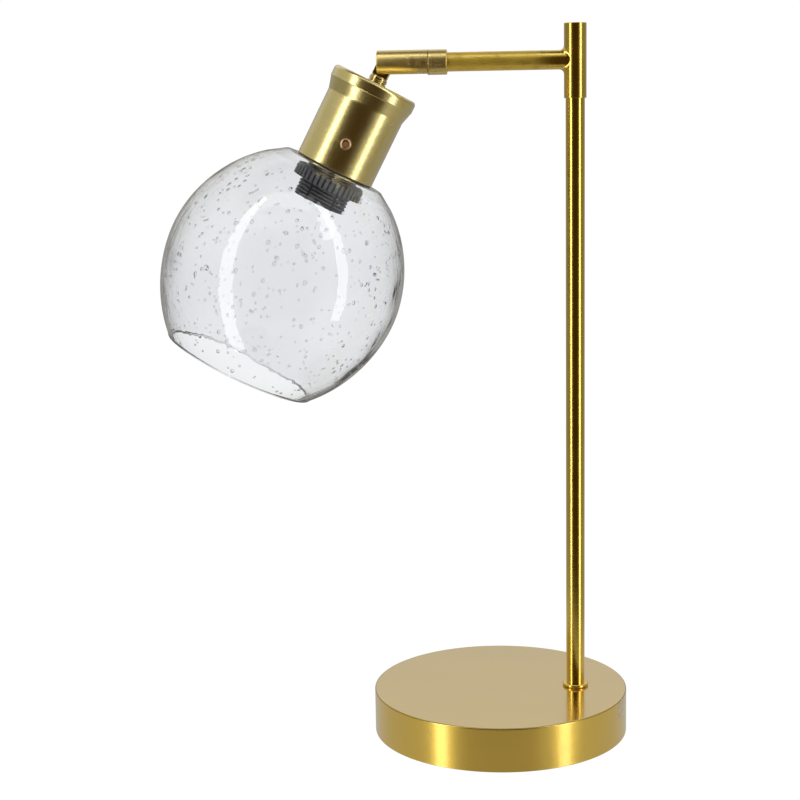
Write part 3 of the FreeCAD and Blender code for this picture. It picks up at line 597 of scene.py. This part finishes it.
# Colour, metallic, least roughness, roughness added by the grain, and the grain's scale per
# metre and depth in metres.
PLAIN = {
    "plain_brass": ((0.78, 0.60, 0.27), 1.0, 0.24, 0.18, 900.0, 0.00002),
    "steel": ((0.60, 0.60, 0.61), 1.0, 0.28, 0.2, 700.0, 0.00002),
    "cast_iron": ((0.10, 0.10, 0.10), 1.0, 0.5, 0.25, 450.0, 0.0002),
    "porcelain": ((0.80, 0.78, 0.73), 0.0, 0.12, 0.12, 250.0, 0.00003),
    "black_rubber": ((0.022, 0.022, 0.023), 0.0, 0.6, 0.25, 1400.0, 0.00006),
    "nylon": ((0.80, 0.78, 0.70), 0.0, 0.35, 0.2, 900.0, 0.00002),
    "lead_sheath": ((0.045, 0.045, 0.048), 0.0, 0.4, 0.2, 1200.0, 0.00003),
}


@cache
def plain(slot):
    """Finish of a piece that the lamp mostly hides: a colour with grain and clouds."""
    colour, metal, smoothest, rougher, scale, depth = PLAIN[slot]
    finish = Finish(slot)
    here = finish.position(STAND)
    grain = finish.noise(here, scale, 4.0, 0.6)
    clouds = finish.noise(here, 40.0, 3.0)
    return finish.surface(
        Base_Color=finish.shaded(clouds, colour, 0.8, 1.15),
        Metallic=metal, Roughness=smoothest + rougher * grain, Normal=finish.bump(grain, depth, 0.6))


@cache
def clear_gasket():
    """Smoky translucent silicone."""
    finish = Finish("clear_gasket")
    here = finish.position(HEAD)
    cloud = finish.noise(here, 300.0, 3.0)
    return finish.surface(
        Base_Color=finish.blend(cloud, (0.05, 0.05, 0.052, 1.0), (0.12, 0.12, 0.125, 1.0)),
        Roughness=0.3 + 0.2 * cloud, IOR=1.41, Transmission_Weight=0.5)


# ---------------------------------------------------------------- settings

def length_setting(name, description, default):
    """A setting in metres whose default is given in millimetres."""
    return bpy.props.FloatProperty(name=name, description=description, default=default * MM,
                                   min=0.0, unit="LENGTH", precision=5)


def number_setting(name, description, default, least, kind):
    """A setting in Blender's own unit of a kind."""
    return bpy.props.FloatProperty(name=name, description=description, default=default,
                                   min=least, unit=kind)


def count_setting(name, description, default, least):
    """A whole number of like pieces."""
    return bpy.props.IntProperty(name=name, description=description, default=default, min=least)


def colour_setting(name, description, default):
    """A setting that is a colour."""
    return bpy.props.FloatVectorProperty(name=name, description=description, default=default,
                                         min=0.0, max=1.0, size=3, subtype="COLOR")


class LampSizes(bpy.types.PropertyGroup):
    """Sizes of details that the solid model leaves plain."""
    edge: length_setting("Edge rounding", "Rounding of the turned pieces' edges", 0.3)
    thread_pitch: length_setting("Thread pitch", "Pitch of the lampholder's outer thread", 2.7)
    thread_depth: length_setting("Thread depth", "Depth of the lampholder's outer thread", 0.9)
    shell_pitch: length_setting("Shell pitch", "Pitch of the rolled thread inside the lampholder", 3.629)
    shell_wave: length_setting("Shell wave", "Half depth of the rolled thread", 0.35)
    flute_depth: length_setting("Flute depth", "Depth of the shade ring's flutes", 0.8)
    flutes: count_setting("Flutes", "Flutes round the shade ring", 40, 3)
    wall_wave: length_setting("Wall wave", "How far the globe's inner face wanders", 0.30)
    seeds: count_setting("Seeds", "Bubbles in the glass", 640, 0)
    smallest_seed: length_setting("Smallest seed", "Radius of the smallest bubbles", 0.6)
    largest_seed: length_setting("Largest seed", "Radius of the largest bubbles", 1.5)


class LampFinishes(bpy.types.PropertyGroup):
    """Colours of the lamp's finishes."""
    post: colour_setting("Post", "Colour of the post and the sleeve", (0.88, 0.61, 0.10))
    arm: colour_setting("Arm", "Colour of the arm's tube", (0.97, 0.67, 0.11))
    head: colour_setting("Cup", "Colour of the cup", (0.84, 0.70, 0.28))
    # The stem's colour is darker than the cup's as painted shade under the barrel.
    stem: colour_setting("Stem", "Colour of the tongue and the collars below it", (0.66, 0.50, 0.20))
    barrel: colour_setting("Satin brass", "Colour of the arm's barrels", (0.93, 0.72, 0.26))
    base_side: colour_setting("Base side", "Colour of the base's side", (0.88, 0.61, 0.10))
    base_top: colour_setting("Base top", "Colour of the base's top", (0.74, 0.55, 0.20))
    copper: colour_setting("Copper", "Colour of the turn knob", (1.0, 0.72, 0.50))
    glass: colour_setting("Glass", "Tint of the globe", (0.93, 0.94, 0.955))


class LampStudio(bpy.types.PropertyGroup):
    """Camera and lights."""
    lens: number_setting("Focal length", "Camera's focal length", 77.76, 1.0, "CAMERA")
    softbox: number_setting("Softbox power", "Power of each softbox, per square metre",
                            11.4, 0.0, "POWER")
    overhead: number_setting("Overhead power", "Power of the card above, per square metre",
                             4.2, 0.0, "POWER")


# ---------------------------------------------------------------- stage

WHITE = 1.02    # brightness of the floor and the room where they are seen straight


class LAMP_OT_stage(bpy.types.Operator):
    """Add the pale floor, the soft studio light and the camera"""
    bl_idname = "lamp.stage"
    bl_label = "Stage"

    def execute(self, context):
        studio = context.scene.lamp_studio
        tall, height = 3.0, 1.0
        self.floor(context.scene)
        context.scene.world = self.surroundings()
        self.light("softbox_left", studio.softbox, (0.17, tall), (-0.655, -0.535, height), (0, 0, height))
        self.light("softbox_right", studio.softbox, (0.22, tall), (0.935, -0.580, height), (0, 0, height))
        self.light("overhead", studio.overhead, (1.3, 0.45), (-0.05, -0.55, 2.0), (-0.05, 0, 0.45))
        self.camera(context.scene, studio.lens)
        context.scene.view_settings.view_transform = "Standard"
        return {"FINISHED"}

    def floor(self, scene):
        """Pale floor. Metal reflects a dimmer one, which fades out away from the lamp."""
        half = 4.0
        mesh = bpy.data.meshes.new("floor")
        mesh.from_pydata([(-half, -half, 0), (half, -half, 0), (half, half, 0), (-half, half, 0)],
                         [], [(0, 1, 2, 3)])
        finish = Finish("floor_paper")
        far = 0.5 + 0.5 * (finish.from_axis(finish.position(STAND)) ** 2.0).over(0.10, 0.045)
        paper = finish.emission((0.62, 0.60, 0.56, 1.0))
        dim = finish.mixed(far, paper, finish.add("ShaderNodeBsdfTransparent"))
        bright = finish.emission((1.0, 1.0, 1.0, 1.0), WHITE)
        mesh.materials.append(finish.output(finish.mixed(finish.direct(), dim, bright)))
        floor = bpy.data.objects.new("floor", mesh)
        scene.collection.objects.link(floor)

    def surroundings(self):
        """Room: white where it is seen straight, and for reflections dark in front of the lamp,
        grey at its sides, paler behind it and higher up, and dark right above it."""
        room = Finish("studio", world=True)
        x, y, z = room.parts(room.add("ShaderNodeTexCoord", output="Generated"))
        frontward = -1 * y * (x * x + y * y + 0.0001) ** -0.5
        high = z.over(0.25, 0.2)
        sides = room.blend(z.over(-0.25, 0.12), (0.33, 0.325, 0.31, 1.0), (0.23, 0.225, 0.21, 1.0))
        sides = room.blend(high, sides, (0.50, 0.49, 0.46, 1.0))
        back = room.blend(high, (0.34, 0.33, 0.31, 1.0), (0.77, 0.75, 0.71, 1.0))
        around = room.blend((-1 * frontward).over(0.6, 0.35), sides, back)
        front = frontward.over(0.80, 0.07) * (1 - z.over(0.68, 0.12))
        reflected = room.blend(front, around, (0.045, 0.024, 0.005, 1.0))
        reflected = room.blend(z.over(0.86, 0.07), reflected, (0.10, 0.10, 0.10, 1.0))
        seen = room.blend(room.direct(), reflected, (WHITE, WHITE, WHITE, 1.0))
        backdrop = room.add("ShaderNodeBackground", None, {"Color": seen, "Strength": 1.0})
        room.add("ShaderNodeOutputWorld", None, {"Surface": backdrop})
        return room.owner

    def light(self, name, power, size, place, target):
        """Area light of a power per square metre that only surfaces and reflections see.

        Its height stands upright, or along Y where it looks down.
        """
        data = bpy.data.lights.new(name, "AREA")
        data.shape = "RECTANGLE"
        data.size, data.size_y = size
        data.energy = power * size[0] * size[1]
        lamp = bpy.data.objects.new(name, data)
        lamp.visible_camera = lamp.visible_transmission = False
        back = unit(np.subtract(place, target))
        side = unit(np.cross((0, 1, 0) if abs(back[2]) > 0.9 else (0, 0, 1), back))
        turn = Matrix(np.stack([side, np.cross(back, side), back], 1).tolist()).to_4x4()
        lamp.matrix_world = Matrix.Translation(place) @ turn
        bpy.context.scene.collection.objects.link(lamp)

    def camera(self, scene, lens):
        """Camera at the photograph's viewing angle, solved from the base's and the post's outlines."""
        place = (0.024902, -1.32497, 0.496085)
        yaw, pitch, roll = -0.07621, 0.17123, -0.01784
        level = np.array([math.cos(yaw), -math.sin(yaw), 0])
        ahead = math.cos(pitch) * np.array([math.sin(yaw), math.cos(yaw), 0]) - (0, 0, math.sin(pitch))
        upright = np.cross(level, ahead)
        right = math.cos(roll) * level + math.sin(roll) * upright
        up = math.cos(roll) * upright - math.sin(roll) * level
        data = bpy.data.cameras.new("camera")
        data.lens, data.sensor_width = lens, 36.0
        camera = bpy.data.objects.new("camera", data)
        turn = Matrix(np.stack([right, up, -ahead], 1).tolist()).to_4x4()
        camera.matrix_world = Matrix.Translation(place) @ turn
        scene.collection.objects.link(camera)
        scene.camera = camera


# ---------------------------------------------------------------- stand

class LAMP_OT_base(bpy.types.Operator):
    """Turn the weighted base's shell"""
    bl_idname = "lamp.base"
    bl_label = "Base"

    def execute(self, context):
        edge = context.scene.lamp_sizes.edge / MM
        radius, low, high = span("base_shell", STAND)
        wall, rim = 2.5, 1.2
        inside, ceiling = radius - wall, high - wall
        corners = [(0, ceiling, 0), (inside, ceiling, 0.8), (inside, low, 0),
                   (radius, low, edge), (radius, high, rim), (0, high, 0)]
        turned_piece("base", corners, STAND, "stand", base_brass(), "base_shell", 288, 8)
        return {"FINISHED"}


class LAMP_OT_post(bpy.types.Operator):
    """Turn the post and the ring at its foot"""
    bl_idname = "lamp.post"
    bl_label = "Post"

    def execute(self, context):
        brass = polished_brass(POST, "post")
        radius, low, high = span("post_tube", POST)
        bore = radius - 1.2
        corners = [(bore, low, 0), (radius, low, 0), (radius, high, 0.2), (bore, high, 0)]
        turned_piece("post", corners, POST, "stand", brass, "post_tube")
        ring, foot, top = span("post_collar", POST)
        hole = radius + 0.06
        bead = (top - foot) * 0.46
        corners = [(hole, foot, 0), (ring, foot, bead), (ring, top, bead), (hole, top, 0)]
        turned_piece("post_ring", corners, POST, "stand", brass, "post_collar", steps=10)
        return {"FINISHED"}


# ---------------------------------------------------------------- arm

class LAMP_OT_arm(bpy.types.Operator):
    """Turn the sleeve, the arm's tube and the rear barrel"""
    bl_idname = "lamp.arm"
    bl_label = "Arm"

    def execute(self, context):
        edge = context.scene.lamp_sizes.edge / MM
        radius, low, high = span("arm_sleeve", POST)
        bore, cap = radius - 1.1, span("sleeve_cap", POST)[0] + 0.05
        bore_top, cap_foot = low + 14, low + 20
        corners = [(cap, high, 0.1), (cap, cap_foot, 0), (bore, bore_top, 0), (bore, low, 0.1),
                   (radius, low, edge), (radius, high, 0.6)]
        brass = polished_brass(POST, "post")
        turned_piece("sleeve", corners, POST, "arm", brass, "arm_sleeve")

        tube, foot = self.tube_radius(), span("arm_tube", ARM)[1]
        inside_sleeve = POST.origin[0] / MM - 6.5
        corners = [(0, foot, 0), (tube, foot, 0.2), (tube, inside_sleeve, 0), (0, inside_sleeve, 0)]
        brass = polished_brass(ARM, "arm")
        turned_piece("arm", corners, ARM, "arm", brass, "arm_tube")

        radius, low, high = span("rear_barrel", ARM)
        socket = high - 1
        corners = [(0, low, 0), (radius, low, 1.5 * edge), (radius, high, 0.6), (tube, high, 0.2),
                   (tube, socket, 0), (0, socket, 0)]
        brass = satin_brass(ARM, "arm")
        turned_piece("rear_barrel", corners, ARM, "arm", brass, "rear_barrel")
        return {"FINISHED"}

    def tube_radius(self):
        """Radius of the arm's tube, away from its end that is cut to the sleeve."""
        points = ARM.local(vertices_of("arm_tube"))
        return np.hypot(points[:, 0], points[:, 1])[points[:, 2] < 0].max()


# ---------------------------------------------------------------- swivel

class LAMP_OT_front_barrel(bpy.types.Operator):
    """Shape the slotted front barrel"""
    bl_idname = "lamp.front_barrel"
    bl_label = "Front barrel"

    count, slot_corner = 72, 0.4

    def arc(self, radius, half_width):
        """Round side of a section, from one lip of the slot over the top to the other."""
        half = math.asin(half_width / radius)
        angle = np.linspace(half - QUARTER, 3 * QUARTER - half, self.count)
        return np.stack([np.cos(angle), np.sin(angle)], 1) * radius

    def slot(self, radius, half_width, ceiling):
        """Path of the slot from below, up one side, along its ceiling and down the other."""
        foot = -math.sqrt(radius ** 2 - half_width ** 2)
        path = rounded([(-half_width, foot, 0), (-half_width, ceiling, self.slot_corner),
                        (half_width, ceiling, self.slot_corner), (half_width, foot, 0)], 5)
        steps = np.r_[0, np.cumsum(np.hypot(*np.diff(path, axis=0).T))]
        at = np.linspace(0, steps[-1], self.count + 2)[1:-1]
        return np.stack([np.interp(at, steps, path[:, axis]) for axis in (0, 1)], 1)

    def execute(self, context):
        """Each section is the round side and then the slot, or the round side's own underside
        where the barrel is whole. Both have as many points, so the first row, where they
        meet in the middle between them, closes the slotted end. In the swivel's axes X lies
        across the slot and Y is up.
        """
        radius, low, high = span("front_barrel", SWIVEL)
        points = SWIVEL.local(vertices_of("front_barrel"))
        # Points well inside the round side and near the open end lie on the slot.
        inside = np.hypot(points[:, 0], points[:, 1]) < radius - 1.0
        in_slot = inside & (points[:, 2] < low + 5)
        half_width, ceiling = np.abs(points[in_slot, 0]).min(), points[in_slot, 1].max()
        slot_end = points[inside & (points[:, 1] < -4.0), 2].max()
        sections = []
        for at, inset in section_edge(low, 0.5, 5) + [(slot_end, 0.0)]:
            width = half_width + 0.6 * inset
            sections.append((at, self.arc(radius - inset, width),
                             self.slot(radius - inset, width, ceiling + inset)))
        at, side, slot = sections[0]
        end = [(at, side * (1 - share) + slot[::-1] * share, slot * (1 - share) + side[::-1] * share)
               for share in (0.5, 0.1)]
        # The whole part runs from the slot's end to the far rim, which is rounded.
        across = np.linspace(-half_width, half_width, self.count + 2)[1:-1]
        for at, inset in ((slot_end, 0.0), (high - 0.45, 0.0), (high - 0.13, 0.13), (high, 0.45)):
            under = np.stack([across, -np.sqrt((radius - inset) ** 2 - across ** 2)], 1)
            sections.append((at, self.arc(radius - inset, half_width), under))
        rows = [np.insert(np.vstack([side, slot]), 2, at, axis=1) for at, side, slot in end + sections]
        form = welded(closed_form(np.stack(rows), loop=False, fans=(False, True)))
        piece("front_barrel_body", form, SWIVEL, "swivel", satin_brass(SWIVEL, "swivel"),
              "front_barrel", 28)
        return {"FINISHED"}


# ---------------------------------------------------------------- head

class LAMP_OT_head(bpy.types.Operator):
    """Shape the tongue, the collar and the cup"""
    bl_idname = "lamp.head"
    bl_label = "Head"

    def execute(self, context):
        # The tongue and the collars take the stem's darker colour, painted shade under the barrel.
        brass = polished_brass(HEAD, "stem")
        self.tongue(brass)
        bore = 5.02
        radius, low, high = span("stem_washer", HEAD)
        corners = [(bore, low, 0), (radius, low, 0.35), (radius, high, 0.5), (bore, high, 0)]
        turned_piece("stem_ring", corners, HEAD, "head", brass, "stem_washer")
        radius, low, high = span("stem_collar", HEAD)
        lip, edge, top = 0.6, 0.25, radius - 0.3
        corners = [(bore, low, 0), (radius, low, edge), (radius, low + lip, edge),
                   (radius - 1.1, (low + high) / 2, 0.5),
                   (top, high - lip, edge), (top, high, edge), (bore, high, 0)]
        turned_piece("stem_waist", corners, HEAD, "head", brass, "stem_collar")
        self.cup(polished_brass(HEAD, "head"))
        return {"FINISHED"}

    def tongue(self, brass):
        """Flat tongue with a round top, on a threaded stem with a shoulder.

        Each row is the tongue's outline, drawn in by an edge rounding that follows a
        quarter circle at both flat faces.
        """
        half_width, half_thickness, foot, rounding, low_rounding = 6.2, 3.9, -7.9, 0.4, 0.5
        stem_radius, stem_foot, shoulder = 5.0, -24.0, -8.6
        angle = np.linspace(0, math.pi, 49)
        top = np.stack([np.cos(angle), np.sin(angle)], 1)
        angle = np.linspace(-QUARTER, 0, 6)
        corner = np.stack([np.cos(angle) - 1, np.sin(angle) + 1], 1) * low_rounding
        near = [(-half_thickness, 2 * rounding)] + section_edge(-half_thickness, rounding, 6)
        rows = []
        for across, inset in near + [(-across, inset) for across, inset in near[::-1]]:
            radius = half_width - inset
            right = corner + (radius, foot)
            outline = np.vstack([radius * top, right[::-1] * (-1, 1), right])
            rows.append(np.insert(outline, 1, across, axis=1))
        blade = closed_form(np.stack(rows), loop=False)
        stem = rounded([(0, stem_foot, 0), (stem_radius, stem_foot, 0.4), (stem_radius, shoulder - 0.1, 0),
                        (half_width, shoulder, 0.2), (half_width, foot, 0.2), (0, foot, 0)], 4)
        stem = closed_form(revolved(stem[stem[:, 0] > 1e-6], 72), loop=False)
        piece("tongue", merged([blade, stem]), HEAD, "head", brass, "head_tongue")

    def cup(self, brass):
        """Cup: rolled band, crease, cone and long body, with its wall's thickness inside."""
        radius, low, high = span("cup_shell", HEAD)
        wall, crease, bore, body, bend = 1.2, 0.35, 5.05, 30.9, 4.0
        band_foot, cone_foot = high - 8.95, high - 18.7
        cone_top = band_foot - crease
        inside = radius - wall
        inner = [(bore, high - wall, 0), (inside, high - wall, 1.8), (inside, band_foot, 0.5),
                 (inside - crease, cone_top, 0.5), (body - wall, cone_foot, bend), (body - wall, low, 0.3)]
        outer = [(body, low, 0.3), (body, cone_foot, bend), (radius - crease, cone_top, 0.25),
                 (radius, band_foot, 0.6), (radius, high, 3.0), (bore, high, 0)]
        turned_piece("cup", inner + outer, HEAD, "head", brass, "cup_shell", 256, 8)


class LAMP_OT_knob(bpy.types.Operator):
    """Turn the small knob with its dished end"""
    bl_idname = "lamp.knob"
    bl_label = "Turn knob"

    def execute(self, context):
        radius, low, high = span("turn_knob", KNOB)
        lip, dish, depth = 2.7, 2.3, 1.0
        corners = [(0, low, 0), (radius, low, 0.3), (radius, high, 0.8), (lip, high, 0.6),
                   (dish, high - depth, 0.2), (0, high - 0.8 * depth, 0)]
        turned_piece("knob", corners, KNOB, "knob", copper(), "turn_knob", 64)
        return {"FINISHED"}


class LAMP_OT_lampholder(bpy.types.Operator):
    """Shape the threaded lampholder, its screw shell and the ribbed shade ring"""
    bl_idname = "lamp.lampholder"
    bl_label = "Lampholder"

    def execute(self, context):
        sizes = context.scene.lamp_sizes
        self.skirt(sizes)
        self.shell(sizes)
        self.ring(sizes)
        return {"FINISHED"}

    def skirt(self, sizes):
        """Threaded tube: the radius falls from the crest by a trapezoid wave of height and angle.

        The thread runs out at both its ends, and grooves along the tube cut through its
        lower turns.
        """
        pitch, depth = sizes.thread_pitch / MM, sizes.thread_depth / MM
        crest, low, high = span("holder_skirt", HEAD)
        body, mouth, chamber, chamber_foot = crest - 1.15, 14.5, 17.0, low + 43.5
        thread_top, grooves_top = low + 29.05, low + 19.0
        rows_in_pitch = 14
        heights = np.arange(low + 0.3, thread_top, pitch / rows_in_pitch)
        outer = np.column_stack([np.full(len(heights), crest), heights])
        outline = np.vstack([[(mouth, low + 0.4), (mouth + 0.4, low), (crest - 1.1, low)], outer,
                             [(body, thread_top + 0.1), (body, high), (chamber, high),
                              (chamber, chamber_foot), (mouth, chamber_foot)]])
        grid = revolved(outline, 216)
        angle, radius = polar(grid)
        height = grid[..., 2]
        half_crest, flank = 0.17, 0.16    # shares of the pitch
        phase = (height / pitch + angle / TURN) % 1.0
        wave = np.clip((np.abs(phase - 0.5) - half_crest) / flank, 0, 1)
        ends = np.clip((height - low) / pitch, 0, 1) * np.clip((thread_top - height) / pitch + 0.3, 0, 1)
        cuts, cut_radius, first_cut = 6, 1.1, math.radians(114)
        along = grooves(angle + first_cut, crest, cuts, cut_radius) * (height < grooves_top)
        threaded = np.abs(radius - crest) < 1e-6
        drop = np.maximum(depth * (1 - (1 - wave) * ends), along)
        raise_surface(grid, np.where(threaded, -drop, 0))
        piece("lampholder_skirt", closed_form(grid), HEAD, "head", black_moulding(),
              "holder_skirt", 40)

    def shell(self, sizes):
        """Rolled brass thread: the radius swings with height and angle, by a sine."""
        pitch, wave = sizes.shell_pitch / MM, 0.95 * sizes.shell_wave / MM
        low, high = span("screw_shell", HEAD)[1:]
        middle, half_wall = 13.5, 0.2
        heights = np.linspace(low, high, 110)
        outline = np.vstack([np.column_stack([0 * heights + middle + half_wall, heights]),
                             np.column_stack([0 * heights + middle - half_wall, heights[::-1]])])
        grid = revolved(outline, 96)
        raise_surface(grid, wave * np.cos(TURN * grid[..., 2] / pitch + polar(grid)[0]))
        piece("shell_thread", closed_form(grid), HEAD, "head", plain("plain_brass"),
              "screw_shell", 60)

    def ring(self, sizes):
        """Ribbed ring: the outside is drawn in by round flutes, evenly spaced."""
        radius, low, high = span("shade_ring", HEAD)
        bore, flute_radius, land, columns_in_flute = 20.6, 1.05, 0.25, 12
        outline = rounded([(bore, low, 0.3), (radius, low, 0.5), (radius, high, 0.5), (bore, high, 0.3)], 5)
        grid = revolved(outline, sizes.flutes * columns_in_flute)
        angle, size = polar(grid)
        flute = grooves(angle, radius, sizes.flutes, flute_radius) - land
        outside = np.clip((size - (radius - 1.2)) / 0.4, 0, 1)
        raise_surface(grid, -outside * np.clip(flute, 0, sizes.flute_depth / MM))
        piece("ribbed_ring", closed_form(grid), HEAD, "head", black_moulding(),
              "shade_ring", 50)


# ---------------------------------------------------------------- globe

class LAMP_OT_globe(bpy.types.Operator):
    """Blow the seeded glass globe"""
    bl_idname = "lamp.globe"
    bl_label = "Globe"

    # The superellipse: its radius, its reach above and below the centre, its power.
    radius, rise, fall, power = 92.7, 100.2, 106.5, 1.92
    # Heights of the neck's top and of the rim, the hole's radius, the wall's thicknesses, and
    # the height above which the wall thins.
    crown, rim_height, hole = 89.6, -78.3, 21.2
    wall, neck_thickness, thins_from = 3.0, 1.2, 50

    def half_width(self, height, inset):
        """Radius at a height above the centre: a superellipse, drawn in by an inset."""
        reach = np.where(height > 0, self.rise, self.fall) - inset
        share = np.clip(1 - (np.abs(height) / reach) ** self.power, 0, 1)
        return (self.radius - inset) * share ** (1 / self.power)

    def face(self, inset, top):
        """Profile of one face of the glass, from its top down to its rim."""
        start = math.asin(top / (self.rise - inset))
        end = math.asin(self.rim_height / (self.fall - inset))
        angle = np.linspace(start, end, 96)
        height = (np.where(angle > 0, self.rise, self.fall) - inset) * np.sin(angle)
        return np.column_stack([self.half_width(height, inset), height])

    def thickness(self, height):
        """The wall thins towards the neck, so that it doesn't guide light round the lampholder."""
        return np.interp(height, (self.thins_from, self.crown), (self.wall, self.neck_thickness))

    def execute(self, context):
        """The outline is the neck, the outer face, the rim's half circle, the inner face and back."""
        sizes = context.scene.lamp_sizes
        centre = span("glass_globe", HEAD)[2] - self.crown
        under_crown = self.crown - self.neck_thickness
        outer, inner = self.face(0, self.crown), self.face(self.wall, under_crown)
        inner[:, 0] = self.half_width(inner[:, 1], self.thickness(inner[:, 1]))
        shoulder, inner_shoulder = outer[0, 0], inner[0, 0]
        # The neck's roundings take the place of both faces' first points, and the faces go in
        # between their two starting points on the neck.
        outer, inner = outer[8:], inner[6:]
        neck = rounded([(self.hole, self.crown, 0.4), (shoulder, self.crown, 3.9),
                        (*outer[0], 0), (*inner[0], 0),
                        (inner_shoulder, under_crown, 3.0), (self.hole, under_crown, 0.4)], 8, beside=0)
        split = int(np.argmin(np.hypot(*(neck - outer[0]).T)))
        angle = np.linspace(0, math.pi, 11)[1:-1, None]
        middle, half = (outer[-1] + inner[-1]) / 2, (outer[-1] - inner[-1]) / 2
        rim = middle + np.cos(angle) * half + np.sin(angle) * (0, -self.wall / 2)
        outline = np.vstack([neck[:split], outer, rim, inner[::-1], neck[split + 2:]])
        grid = revolved(outline, 288)
        first = split + len(outer) + len(rim)
        self.wander(grid, slice(first, first + len(inner)), sizes.wall_wave / MM)
        grid[..., 2] += centre
        form = merged([closed_form(grid)] + self.seeds(sizes, centre))
        globe = piece("globe", form, HEAD, "head", clear_glass(), "glass_globe", 40)
        globe.data.materials.append(clear_glass("clear_glass_seeds", 1.2, 0.0))
        materials = np.ones(len(globe.data.polygons), np.int32)
        materials[:grid.shape[0] * grid.shape[1]] = 0
        globe.data.polygons.foreach_set("material_index", materials)
        return {"FINISHED"}

    def wander(self, grid, rows, depth):
        """Moves the inner face in and out by a sum of plane waves of random direction.

        The waves are 24 to 70 mm long and die out towards the neck and the rim.
        """
        random = np.random.default_rng(5)
        points = grid[rows]
        number = 14
        waves = random.normal(size=(number, 3))
        waves *= (TURN / random.uniform(24, 70, number) / np.linalg.norm(waves, axis=1))[:, None]
        gain = 2.2    # makes the face wander by 0.4 of the depth on average, and 1.5 at most
        shift = np.sin(points @ waves.T + random.uniform(0, TURN, number)).mean(-1) * gain * depth
        fade = np.sin(np.linspace(0, math.pi, len(points)))[:, None] ** 0.5
        out = points / np.linalg.norm(points, axis=-1, keepdims=True)
        grid[rows] = points + out * (shift * fade)[..., None]

    def seeds(self, sizes, centre):
        """Bubbles in the wall: pills of 48 faces, flat to the wall and mostly small, spread
        evenly over the globe.
        """
        random = np.random.default_rng(11)
        forms = []
        rise = np.linspace(-QUARTER, QUARTER, 7)[1:-1]
        pill = revolved(np.stack([np.cos(rise) ** 0.45, np.sin(rise)], 1), 8)
        smallest, largest = sizes.smallest_seed / MM, sizes.largest_seed / MM
        for _ in range(sizes.seeds):
            height = random.uniform(self.rim_height + 3, self.crown - 14)
            angle = random.uniform(0, TURN)
            size = smallest + (largest - smallest) * random.uniform() ** 2.4
            stretch = random.uniform(1.0, 1.6)
            depth = random.uniform(0.4, 0.6)
            inwards, step = self.thickness(height) * depth, 0.5
            radius = self.half_width(height, inwards)
            slope = self.half_width(height + step, inwards) - radius
            out = np.array((math.cos(angle), math.sin(angle), 0))
            across = np.array((-math.sin(angle), math.cos(angle), 0))
            along = unit(slope * out + (0, 0, step))
            half_thickness = min(0.6 * size, 0.7)
            axes = np.stack([across * size, along * size * stretch,
                             np.cross(across, along) * half_thickness])
            vertices, quads, triangles = closed_form(pill @ axes, loop=False, hollow=True)
            forms.append((vertices + radius * out + (0, 0, height + centre), quads, triangles))
        return forms


# ---------------------------------------------------------------- carried-over nodes

class LAMP_OT_carried(bpy.types.Operator):
    """Give the solid model's own pieces their finishes"""
    bl_idname = "lamp.carried"
    bl_label = "Carried-over pieces"

    def execute(self, context):
        """The sleeve's cap and its braze are brushed round the post, the rest along its own body."""
        places = {"stand": POST, "arm": ARM, "swivel": SWIVEL, "head": HEAD, "knob": KNOB}
        slots = {part["node"]: part["material_slot"] for part in frame["record"]["subparts"]}
        single = {"copper": copper, "black_moulding": black_moulding, "clear_glass": clear_glass,
                  "clear_gasket": clear_gasket}
        for name, node in frame["nodes"].items():
            slot, body = slots[name], node["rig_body"]
            place = POST if name in ("sleeve_cap", "arm_braze") else places[body]
            if slot == "polished_brass":
                finish = polished_brass(place, "post" if place is POST else body)
            elif slot == "satin_brass":
                finish = satin_brass(place, body)
            elif slot in single:
                finish = single[slot]()
            else:
                finish = plain(slot)
            node.data.materials.clear()
            node.data.materials.append(finish)
        return {"FINISHED"}


# ---------------------------------------------------------------- panel and registration

OPERATORS = (LAMP_OT_stage, LAMP_OT_base, LAMP_OT_post, LAMP_OT_arm, LAMP_OT_front_barrel, LAMP_OT_head,
             LAMP_OT_knob, LAMP_OT_lampholder, LAMP_OT_globe, LAMP_OT_carried)


class LAMP_PT_panel(bpy.types.Panel):
    """Lists the settings and the pieces"""
    bl_idname = "LAMP_PT_panel"
    bl_label = "Glass globe lamp"
    bl_space_type = "VIEW_3D"
    bl_region_type = "UI"
    bl_category = "Lamp"

    def draw(self, context):
        for group in (context.scene.lamp_sizes, context.scene.lamp_finishes, context.scene.lamp_studio):
            box = self.layout.box()
            for name in group.bl_rna.properties.keys():
                if name not in ("rna_type", "name"):
                    box.prop(group, name)
        for operator in OPERATORS:
            self.layout.operator(operator.bl_idname)


CLASSES = (LampSizes, LampFinishes, LampStudio, *OPERATORS, LAMP_PT_panel)


def register():
    """Makes the classes and their settings known to Blender."""
    for made in CLASSES:
        bpy.utils.register_class(made)
    bpy.types.Scene.lamp_sizes = bpy.props.PointerProperty(type=LampSizes)
    bpy.types.Scene.lamp_finishes = bpy.props.PointerProperty(type=LampFinishes)
    bpy.types.Scene.lamp_studio = bpy.props.PointerProperty(type=LampStudio)


def unregister():
    """Takes the settings and the classes out again."""
    del bpy.types.Scene.lamp_studio
    del bpy.types.Scene.lamp_finishes
    del bpy.types.Scene.lamp_sizes
    for made in reversed(CLASSES):
        bpy.utils.unregister_class(made)


def main():
    """Builds the lamp."""
    register()
    bpy.ops.lamp.stage()
    bpy.ops.lamp.base()
    bpy.ops.lamp.post()
    bpy.ops.lamp.arm()
    bpy.ops.lamp.front_barrel()
    bpy.ops.lamp.head()
    bpy.ops.lamp.knob()
    bpy.ops.lamp.lampholder()
    bpy.ops.lamp.globe()
    bpy.ops.lamp.carried()


if __name__ == "__main__":
    main()
